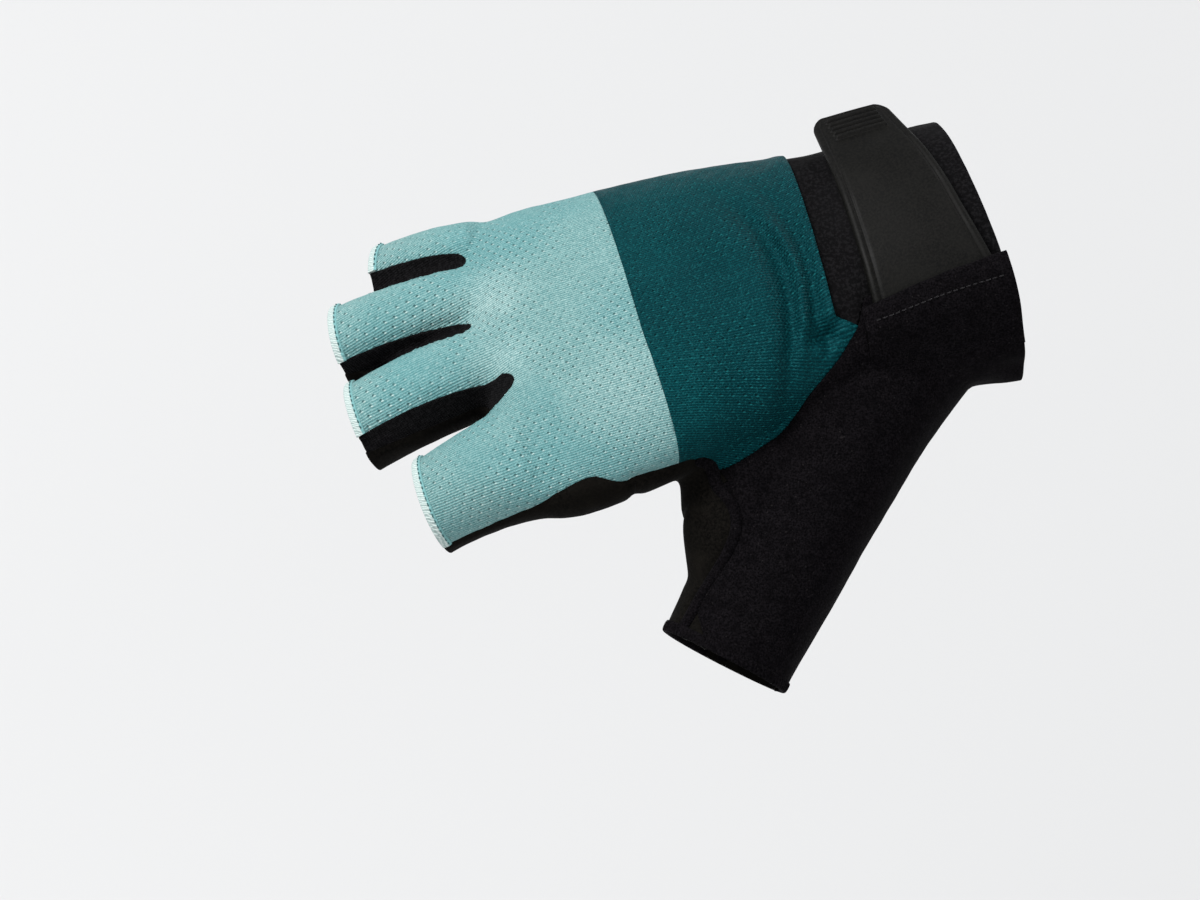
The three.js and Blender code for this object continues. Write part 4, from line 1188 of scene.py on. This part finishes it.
def binding_along(points, normals):
    """Rings of a half-round binding that lies on the cloth, with slanting thread bumps."""
    ways = np.gradient(points, axis=0)
    run = np.concatenate([[0], np.cumsum(np.linalg.norm(np.diff(points, axis=0), axis=1))])
    rings = []
    for i, (point, way, normal) in enumerate(zip(points, ways, normals)):
        way = unit(way)
        across = unit(np.cross(normal, way))
        over = np.cross(way, across)
        ends = min(1, (min(i, len(points) - 1 - i) + 1) / bind_taper) ** 0.5
        ring = []
        for turn in np.linspace(0, 2 * math.pi, bind_steps, endpoint=False):
            upward = 0.5 * math.sin(turn)
            if math.sin(turn) > 0:
                bump = bind_bump * math.cos(2 * math.pi * (run[i] / bind_pitch + turn / 5))
                upward = (bind_height + bump) * ends * math.sin(turn)
            sideways = bind_width / 2 * ends * math.cos(turn)
            ring.append(point + across * sideways + over * (upward + bind_rise))
        rings.append(np.array(ring))
    return rings


binding_vertices, binding_faces = tube(binding_along(path_points, path_normals))
binding = link("thumb_seam_binding", new_mesh("thumb_seam_binding", binding_vertices, binding_faces))
binding.data.shade_smooth()
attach(binding, "root")
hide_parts("thumb_seam")
pieces["thumb_seam"] = binding
print("binding faces", len(binding_faces))

# %% [markdown]
# ## Stitches
# A row of stitches holds down each folded edge. Bump could draw them, but a stitch catches light
# on its round back. A real one is a short length of thread that dips into the cloth at both ends,
# so each one here is a small bent capsule laid on the surface, and a row is one object.

# %% One row of stitches
stitch_slots = {}
stitch_steps, stitch_sides = 7, 7


def stitch_row(name, points, normals, pitch, length, radius, slot):
    """Small bent capsules along a path on the cloth, one object for the whole row."""
    run = np.concatenate([[0], np.cumsum(np.linalg.norm(np.diff(points, axis=0), axis=1))])
    vertices, faces = [], []
    for start in np.arange(pitch / 2, run[-1] - length, pitch):
        places = start + np.linspace(0, length, stitch_steps)
        middles = np.stack([np.interp(places, run, points[:, k]) for k in range(3)], axis=1)
        ups = np.stack([np.interp(places, run, normals[:, k]) for k in range(3)], axis=1)
        rings = []
        for i in range(stitch_steps):
            share = i / (stitch_steps - 1)
            way = unit(middles[min(i + 1, stitch_steps - 1)] - middles[max(i - 1, 0)])
            up = unit(ups[i])
            side = unit(np.cross(up, way))
            thick = radius * (0.25 + 0.75 * math.sin(math.pi * min(max(share, 0.06), 0.94)) ** 0.5)
            lift = radius * (1.1 * math.sin(math.pi * share) - 0.35)
            rings.append(np.array([
                middles[i] + up * (lift + thick * math.sin(t)) + side * thick * math.cos(t)
                for t in np.linspace(0, 2 * math.pi, stitch_sides, endpoint=False)]))
        part_vertices, part_faces = tube(rings)
        faces.extend([tuple(i + sum(map(len, vertices)) for i in face) for face in part_faces])
        vertices.append(part_vertices)
    thing = link(name, new_mesh(name, np.concatenate(vertices), faces))
    thing.data.shade_smooth()
    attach(thing, "root")
    stitch_slots[thing] = slot
    print(name, len(vertices), "stitches")


# %% Stitches of the folded edge
fold_path = np.array([fold_surface(share, 0.17, 1) for share in np.linspace(0.05, 0.97, 60)])
fold_above = []
for x, y, z in fold_path:
    along, angle = -x / palm_length, math.atan2(z, y)
    fold_above.append(wrist_point(along, angle, 1) - wrist_point(along, angle, 0))
stitch_row("stitches_fold", fold_path, np.array(fold_above), 1.5, 1.05, 0.16, "thread_dark")

# %% Stitches of the finger hems
inland_of_hem, side_margin = 1.7, 0.02
for name in stalls:
    span = np.linalg.norm(stall_frame(name, 1)[0] - stall_frame(name, 0)[0])
    centre, slope, across, over, wide, deep = stall_frame(name, 1 - inland_of_hem / span)
    around = np.linspace(side_margin, math.pi - side_margin, 90)
    rows = [section_ring(centre, across, over, wide + lift, deep + lift, deep + lift, around, stall_power)
            for lift in (hem_stand, 1 + hem_stand)]
    seen = on_the_back(rows[0])
    stitch_row("stitches_" + name, rows[0][seen], (rows[1] - rows[0])[seen], 1.35, 0.85, 0.15,
               "thread_teal")

# %% [markdown]
# ## A small kit for materials
# A procedural material is a chain of nodes. It could be wired in the shader editor, but a script
# can be read, changed and run again. These helpers write one node each, so that a finish
# reads like a sentence: take the cloth's flat map, make stripes, mix two colours, add a bump.

# %% Node helpers
class Finish:
    """Builds the nodes of one material."""

    def __init__(self, name):
        self.material = bpy.data.materials.new(name)
        self.material.use_nodes = True
        self.nodes = self.material.node_tree.nodes
        self.links = self.material.node_tree.links
        self.shader = self.nodes["Principled BSDF"]

    def put(self, socket, value):
        if isinstance(value, bpy.types.NodeSocket):
            self.links.new(value, socket)
        elif isinstance(value, tuple) and len(value) == 3 and socket.type == "RGBA":
            socket.default_value = (*value, 1)
        else:
            socket.default_value = value

    def sum(self, operation, *values):
        """One math node."""
        node = self.nodes.new("ShaderNodeMath")
        node.operation = operation
        for socket, value in zip(node.inputs, values):
            self.put(socket, value)
        return node.outputs[0]

    def mix(self, factor, a, b, blend="MIX"):
        """Mixes two colours."""
        node = self.nodes.new("ShaderNodeMix")
        node.data_type = "RGBA"
        node.blend_type = blend
        self.put(node.inputs[0], factor)
        self.put(node.inputs[6], a)
        self.put(node.inputs[7], b)
        return node.outputs[2]

    def fade(self, value, low, high, to_low=0.0, to_high=1.0):
        """Maps a range smoothly onto another."""
        node = self.nodes.new("ShaderNodeMapRange")
        node.interpolation_type = "SMOOTHSTEP"
        for socket, number in zip(node.inputs, (value, low, high, to_low, to_high)):
            self.put(socket, number)
        return node.outputs[0]

    def noise(self, scale, detail=2.0, roughness=0.5, vector=None):
        node = self.nodes.new("ShaderNodeTexNoise")
        node.inputs["Scale"].default_value = scale
        node.inputs["Detail"].default_value = detail
        node.inputs["Roughness"].default_value = roughness
        self.links.new(vector or self.place(), node.inputs["Vector"])
        return node.outputs["Fac"]

    def place(self):
        """Place on the glove, in metres."""
        return self.nodes.new("ShaderNodeTexCoord").outputs["Object"]

    def flat(self):
        """Place on the flat pattern piece, in millimetres: along the glove and across it."""
        split = self.nodes.new("ShaderNodeSeparateXYZ")
        self.links.new(self.nodes.new("ShaderNodeTexCoord").outputs["UV"], split.inputs[0])
        return split.outputs[0], split.outputs[1]

    def wave(self, value, pitch, shift=0.0):
        """A soft stripe from 0 to 1 with a pitch in the unit of the value."""
        turn = self.sum("ADD", self.sum("MULTIPLY", value, 2 * math.pi / pitch), shift)
        return self.sum("MULTIPLY_ADD", self.sum("SINE", turn), 0.5, 0.5)

    def bump(self, height, distance, strength=1.0, below=None):
        node = self.nodes.new("ShaderNodeBump")
        node.inputs["Strength"].default_value = strength
        node.inputs["Distance"].default_value = distance
        self.links.new(height, node.inputs["Height"])
        if below is not None:
            self.links.new(below, node.inputs["Normal"])
        return node.outputs[0]

    def set(self, **values):
        for name, value in values.items():
            self.put(self.shader.inputs[name.replace("_", " ")], value)
        print(self.material.name, len(self.nodes), "nodes")
        return self.material


finishes = {}

# %% [markdown]
# ## Eyelet knit
# The back is a light sports knit. Fine wales run along the glove, with painted shade in their
# grooves, and small eyelets lie between them in staggered rows: each is painted dark inside, as
# painted shade, with a painted highlight on the loop of thread beside it. As a mesh, so many holes
# would need far too many triangles, so stripes and spots on the flat map make colour and bump. The
# dark panel is the same cloth in another colour, where the painted highlights and flecks show as
# lighter dashes.

# %% Knit finish
WALE_PITCH, LOOP_PITCH = 0.56, 0.80
EYELET_ALONG, EYELET_ACROSS, EYELET_RADIUS = 2.4, 1.68, 0.27


def knit(name, shade, middle, light, eyelet_shade, loop, highlight_strength, flecks, gloss, highlights_and_pale_patches=()):
    """Eyelet knit: painted shade darkens its grooves towards shade, and middle and light mix at random.

    Eyelets are painted dark inside as painted shade, and a painted highlight beside each one and the
    flecks of thread take the loop colour. The gloss holds the sheen's weight, its tint and the level
    of the highlight. Painted highlights on the webs and one paler patch lighten the colour towards the
    loop colour, in one row for each place with its reach in metres and its amount."""
    k = Finish(name)
    along, across = k.flat()
    wobble = k.sum("MULTIPLY_ADD", k.noise(90, 2), 0.9, -0.45)
    across = k.sum("ADD", across, wobble)
    wale = k.wave(across, WALE_PITCH)
    side = k.sum("MULTIPLY", k.sum("FLOOR", k.sum("DIVIDE", across, WALE_PITCH)), math.pi)
    loops = k.wave(along, LOOP_PITCH, side)
    row = k.sum("FLOOR", k.sum("DIVIDE", across, EYELET_ACROSS))
    stagger = k.sum("MULTIPLY", k.sum("FLOORED_MODULO", row, 2.0), 0.5)
    steps_along = k.sum("ADD", k.sum("DIVIDE", along, EYELET_ALONG), stagger)
    cell_along = k.sum("SUBTRACT", k.sum("FRACT", steps_along), 0.5)
    cell_across = k.sum("SUBTRACT", k.sum("FRACT", k.sum("DIVIDE", across, EYELET_ACROSS)), 0.5)
    off_along = k.sum("MULTIPLY", cell_along, EYELET_ALONG)
    off_across = k.sum("MULTIPLY", cell_across, EYELET_ACROSS)

    def spot(shift_along, shift_across, radius, stretch):
        a = k.sum("DIVIDE", k.sum("SUBTRACT", off_along, shift_along), stretch)
        b = k.sum("SUBTRACT", off_across, shift_across)
        away = k.sum("SQRT", k.sum("ADD", k.sum("MULTIPLY", a, a), k.sum("MULTIPLY", b, b)))
        return k.fade(away, radius, 0.35 * radius)

    strength = k.fade(k.noise(70, 2, 0.6), 0.34, 0.62, 0.15, 1.0)
    eyelet = k.sum("MULTIPLY", spot(0.0, 0.0, EYELET_RADIUS, 1.25), strength)
    # A painted highlight on the loop of thread beside each eyelet; the same mask also raises the bump.
    highlight_loop = k.sum("MULTIPLY", spot(-0.30, 0.30, 0.24, 1.9), strength)
    cloudy = k.fade(k.noise(26, 2), 0.36, 0.64)
    colour = k.mix(cloudy, middle, light)
    # Painted highlights on the webs between the knuckles, and one paler patch, lighten the colour towards
    # the loop colour.
    for place, reach, amount in highlights_and_pale_patches:
        near = k.nodes.new("ShaderNodeVectorMath")
        near.operation = "DISTANCE"
        k.links.new(k.place(), near.inputs[0])
        near.inputs[1].default_value = place
        colour = k.mix(k.fade(near.outputs["Value"], reach, 0.0, 0.0, amount), colour, loop)
    # Painted shade in the grooves between the wales, broken up by noise.
    groove = k.fade(wale, 0.62, 0.10, 0.0, 0.80)
    broken = k.fade(k.noise(700, 2, 0.6), 0.25, 0.60, 0.35, 1.0)
    colour = k.mix(k.sum("MULTIPLY", groove, broken), colour, shade)
    grain = k.fade(k.noise(2600, 2, 0.7), 0.35, 0.65, 0.0, 0.55)
    colour = k.mix(grain, colour, shade)
    colour = k.mix(k.fade(k.noise(2100, 1), 0.55, 0.70, 0.0, flecks), colour, loop)
    # Painted highlight beside each eyelet, in the loop colour.
    colour = k.mix(k.sum("MULTIPLY", highlight_loop, highlight_strength), colour, loop)
    # Painted shade: each eyelet is darkened inside towards the eyelet colour.
    colour = k.mix(k.sum("MULTIPLY", eyelet, 0.75), colour, eyelet_shade)
    height = k.sum("ADD", k.sum("MULTIPLY", wale, 0.6), k.sum("MULTIPLY", loops, 0.35))
    height = k.sum("ADD", height, k.sum("MULTIPLY", highlight_loop, 0.5))
    height = k.sum("SUBTRACT", height, k.sum("MULTIPLY", eyelet, 1.6))
    soft = k.bump(k.noise(140, 3), 0.0006, 0.35)
    weight, tint, level = gloss
    return k.set(Base_Color=colour, Roughness=k.fade(k.noise(300, 2), 0.3, 0.7, 0.44, 0.60),
                 Normal=k.bump(height, 0.00022, 1.0, soft), Sheen_Weight=weight, Sheen_Roughness=0.45,
                 Sheen_Tint=tint, Specular_Tint=tint, Specular_IOR_Level=level)


# %% The light and the dark knit
# The first two places are painted highlights on the webs between the knuckles; the third is a paler patch
# on the back.
web_highlights_and_pale_patch = [((-0.1072, 0.0102, 0.001), 0.013, 0.55), ((-0.1077, -0.0067, 0.0), 0.012, 0.45),
              ((-0.0848, -0.0248, 0.008), 0.017, 0.30)]
finishes["light_knit"] = knit(
    "light_knit", shade=(0.055, 0.195, 0.205), middle=(0.195, 0.405, 0.405),
    light=(0.290, 0.475, 0.455), eyelet_shade=(0.030, 0.120, 0.125), loop=(0.62, 0.80, 0.76),
    highlight_strength=0.62, flecks=0.16, gloss=(0.08, (0.9, 1.0, 1.0), 0.12), highlights_and_pale_patches=web_highlights_and_pale_patch)
finishes["dark_knit"] = knit(
    "dark_knit", shade=(0.0002, 0.0080, 0.0105), middle=(0.0006, 0.031, 0.037),
    light=(0.0012, 0.050, 0.057), eyelet_shade=(0.0002, 0.008, 0.010), loop=(0.014, 0.17, 0.18),
    highlight_strength=0.55, flecks=0.25, gloss=(0.02, (0.10, 0.75, 0.85), 0.26))

# %% [markdown]
# ## Brushed cloth
# Four blacks sit side by side and must still read as four cloths. The thumb panel is deep and
# fuzzy, made for wiping. Real strands could give its nap, but from here they are too fine to see.
# So fine noise gives the fuzz, coarser noise the clumps, and rare bright dots the lint.

# %% Brushed cloth
def brushed(name):
    k = Finish(name)
    fuzz = k.noise(2400, 3, 0.7)
    clumps = k.noise(420, 3, 0.6)
    lint = k.fade(k.noise(1500, 1), 0.71, 0.76)
    colour = k.mix(k.fade(fuzz, 0.35, 0.68), (0.0012, 0.0010, 0.0013), (0.0085, 0.0072, 0.0085))
    colour = k.mix(k.fade(clumps, 0.38, 0.66, 0.0, 0.5), colour, (0.0012, 0.0010, 0.0013))
    colour = k.mix(k.sum("MULTIPLY", lint, 0.35), colour, (0.030, 0.027, 0.027))
    height = k.sum("ADD", k.sum("MULTIPLY", fuzz, 0.7), k.sum("MULTIPLY", clumps, 0.6))
    return k.set(Base_Color=colour, Roughness=0.95, Normal=k.bump(height, 0.00022, 0.8),
                 Sheen_Weight=0.012, Sheen_Roughness=0.35, Specular_IOR_Level=0.03)


finishes["wipe_fabric"] = brushed("wipe_fabric")

# %% [markdown]
# ## Suede
# The palm and the web are warm and blotchy, because the nap lies down in patches and shines where
# it is rubbed. One noise alone would look like stone, so three sizes of it are laid together: the
# nap, the patches and the worn places.

# %% Suede
def suede(name):
    k = Finish(name)
    nap = k.noise(1700, 4, 0.75)
    patches = k.noise(75, 3, 0.55)
    worn = k.fade(k.noise(210, 2), 0.5, 0.75)
    colour = k.mix(k.fade(nap, 0.32, 0.7), (0.0010, 0.0009, 0.0007), (0.0075, 0.0065, 0.0052))
    colour = k.mix(k.fade(patches, 0.42, 0.64, 0.0, 0.65), colour, (0.0060, 0.0052, 0.0042))
    colour = k.mix(k.sum("MULTIPLY", worn, 0.25), colour, (0.014, 0.012, 0.0095))
    height = k.sum("ADD", nap, k.sum("MULTIPLY", patches, 0.8))
    return k.set(Base_Color=colour, Roughness=k.fade(patches, 0.3, 0.7, 0.82, 0.95),
                 Normal=k.bump(height, 0.0002, 0.7), Sheen_Weight=0.018, Sheen_Roughness=0.3,
                 Specular_IOR_Level=0.04)


finishes["suede"] = suede("suede")

# %% [markdown]
# ## Stretch band
# The cuff and the strips are woven with elastic, so a fine grid of threads shows and some lint
# sticks to it. Two waves across each other on the flat map make the grid, in step with the cloth
# where a noise in space would swim over it.

# %% Stretch band
def stretch(name):
    k = Finish(name)
    along, across = k.flat()
    warp, weft = k.wave(along, 0.62), k.wave(across, 0.50)
    weave = k.sum("MULTIPLY", warp, weft)
    cloudy = k.noise(130, 3)
    lint = k.fade(k.noise(1300, 3, 0.7), 0.45, 0.62)
    colour = k.mix(weave, (0.0014, 0.0013, 0.0015), (0.0062, 0.0056, 0.0062))
    colour = k.mix(k.fade(cloudy, 0.4, 0.65, 0.0, 0.5), colour, (0.0025, 0.0023, 0.0026))
    colour = k.mix(k.sum("MULTIPLY", lint, 0.6), colour, (0.0110, 0.0104, 0.0112))
    return k.set(Base_Color=colour, Roughness=0.8,
                 Normal=k.bump(weave, 0.00018, 0.9, k.bump(k.noise(260, 3), 0.0004, 0.5)),
                 Sheen_Weight=0.02, Sheen_Roughness=0.4, Specular_IOR_Level=0.05)


finishes["stretch"] = stretch("stretch")

# %% [markdown]
# ## Laminate
# The strap is a smooth film on cloth with a dull shine. A plain black plastic would look new and
# wet, so a faint grain breaks the highlight and rubbed places are a little rougher and greyer.

# %% Laminate
def laminate(name):
    k = Finish(name)
    grain = k.noise(1900, 3, 0.6)
    rubbed = k.noise(90, 3)
    colour = k.mix(k.fade(grain, 0.35, 0.65), (0.0015, 0.0015, 0.0012), (0.0056, 0.0053, 0.0044))
    colour = k.mix(k.fade(rubbed, 0.45, 0.7, 0.0, 0.4), colour, (0.0072, 0.0069, 0.0060))
    return k.set(Base_Color=colour, Roughness=k.fade(rubbed, 0.35, 0.7, 0.50, 0.64),
                 Normal=k.bump(grain, 0.00006, 0.6), Specular_IOR_Level=0.10)


finishes["laminate"] = laminate("laminate")

# %% [markdown]
# ## Thread
# The finger hems are overlocked in pale thread, and dark thread holds them down. Thread is a
# twisted strand. The bead already has its bumps as mesh, so slanting stripes and a soft sheen are
# enough for the strands inside them.

# %% Thread finish
STRAND_PITCH = 0.00045


def thread(name, dark, light, cloth=None):
    """Thread from dark to light. A hem of it shows the cloth again further in from its edge."""
    k = Finish(name)
    split = k.nodes.new("ShaderNodeSeparateXYZ")
    k.links.new(k.place(), split.inputs[0])
    slant = k.sum("ADD", k.sum("MULTIPLY", split.outputs[0], 0.7), split.outputs[1])
    strand = k.wave(k.sum("ADD", slant, k.sum("MULTIPLY", k.noise(900, 2), 0.0006)), STRAND_PITCH)
    fluff = k.noise(2200, 2, 0.7)
    colour = k.mix(k.sum("MULTIPLY", strand, 0.8), dark, light)
    colour = k.mix(k.fade(fluff, 0.4, 0.7, 0.0, 0.35), colour, dark)
    if cloth is not None:
        inland = k.sum("ADD", k.flat()[0], k.sum("MULTIPLY_ADD", k.noise(1100, 2), 0.5, -0.25))
        colour = k.mix(k.fade(inland, 1.42, 1.68), colour, cloth)
    height = k.sum("ADD", strand, fluff)
    return k.set(Base_Color=colour, Roughness=0.8, Normal=k.bump(height, 0.0001, 0.7),
                 Sheen_Weight=0.15, Sheen_Roughness=0.4, Specular_IOR_Level=0.2)


finishes["pale_edge"] = thread("pale_edge", (0.36, 0.47, 0.45), (0.74, 0.82, 0.79),
                               cloth=(0.19, 0.41, 0.41))
threads = {
    "thread_dark": ("wipe_fabric", thread("thread_dark", (0.005, 0.004, 0.005), (0.024, 0.022, 0.024))),
    "thread_teal": ("light_knit", thread("thread_teal", (0.020, 0.080, 0.085), (0.090, 0.220, 0.220))),
}

# %% [markdown]
# ## Dressing the pieces
# The part's record says which finish each piece has. The script reads it from there, so a piece
# can't get a finish by mistake. Each row of stitches gets the finish of its own thread.

# %% Dress the pieces
for thing, kind in stitch_slots.items():
    slot, material = threads[kind]
    thing.data.materials.append(material)
slot_of = {row["node"]: row["material_slot"] for row in frame["record"]["subparts"]}
for name, thing in pieces.items():
    thing.data.materials.append(finishes[slot_of[name]])
print("dressed", len(pieces), "pieces")

# %% [markdown]
# ## Floor
# The photo has a plain pale ground with hardly any shadow. A white world would give the colour,
# but not its soft fall-off, so a wide matt floor lies well beneath the glove.

# %% Floor
floor_mesh = bpy.data.meshes.new("floor")
floor_size, floor_drop = 6.0, -0.35
floor_corners = [(x * floor_size, y * floor_size, floor_drop)
                 for x, y in ((-1, -1), (1, -1), (1, 1), (-1, 1))]
floor_mesh.from_pydata(floor_corners, [], [(0, 1, 2, 3)])
floor = link("floor", floor_mesh)
floor_material = bpy.data.materials.new("pale_ground")
floor_material.use_nodes = True
floor_shader = floor_material.node_tree.nodes["Principled BSDF"]
floor_shader.inputs["Base Color"].default_value = (0.645, 0.645, 0.64, 1)
floor_shader.inputs["Roughness"].default_value = 1.0
floor_mesh.materials.append(floor_material)
print("floor at", floor_drop, "m")

# %% [markdown]
# ## Light
# The light in the photo is soft and comes from the upper left, with a little from the front. One
# sun would cut hard shadows into the folds, so three area lights of different size do it, over a
# pale world. The Standard view shows the colours as they are, where the default view would grey
# the blacks.

# %% Lights
def softbox(name, place, size, power, aim=(-0.07, 0, 0)):
    """A square area light that faces the glove."""
    data = bpy.data.lights.new(name, "AREA")
    data.shape = "SQUARE"
    data.size = size
    data.energy = power
    lamp = bpy.data.objects.new(name, data)
    bpy.context.scene.collection.objects.link(lamp)
    lamp.location = place
    lamp.rotation_mode = "QUATERNION"
    lamp.rotation_quaternion = (Vector(aim) - Vector(place)).to_track_quat("-Z", "Y")
    return lamp


key = softbox("key", (-0.75, 0.45, 1.05), 0.55, 20)
fill = softbox("fill", (0.2, -1.0, 0.9), 1.2, 7)
rim = softbox("rim", (0.9, 0.9, 0.5), 0.7, 5)
world = bpy.data.worlds.new("studio")
world.use_nodes = True
world.node_tree.nodes["Background"].inputs["Color"].default_value = (0.93, 0.95, 1.0, 1)
world.node_tree.nodes["Background"].inputs["Strength"].default_value = 0.45
bpy.context.scene.world = world
bpy.context.scene.view_settings.view_transform = "Standard"
print("lights", [lamp.name for lamp in (key, fill, rim)])
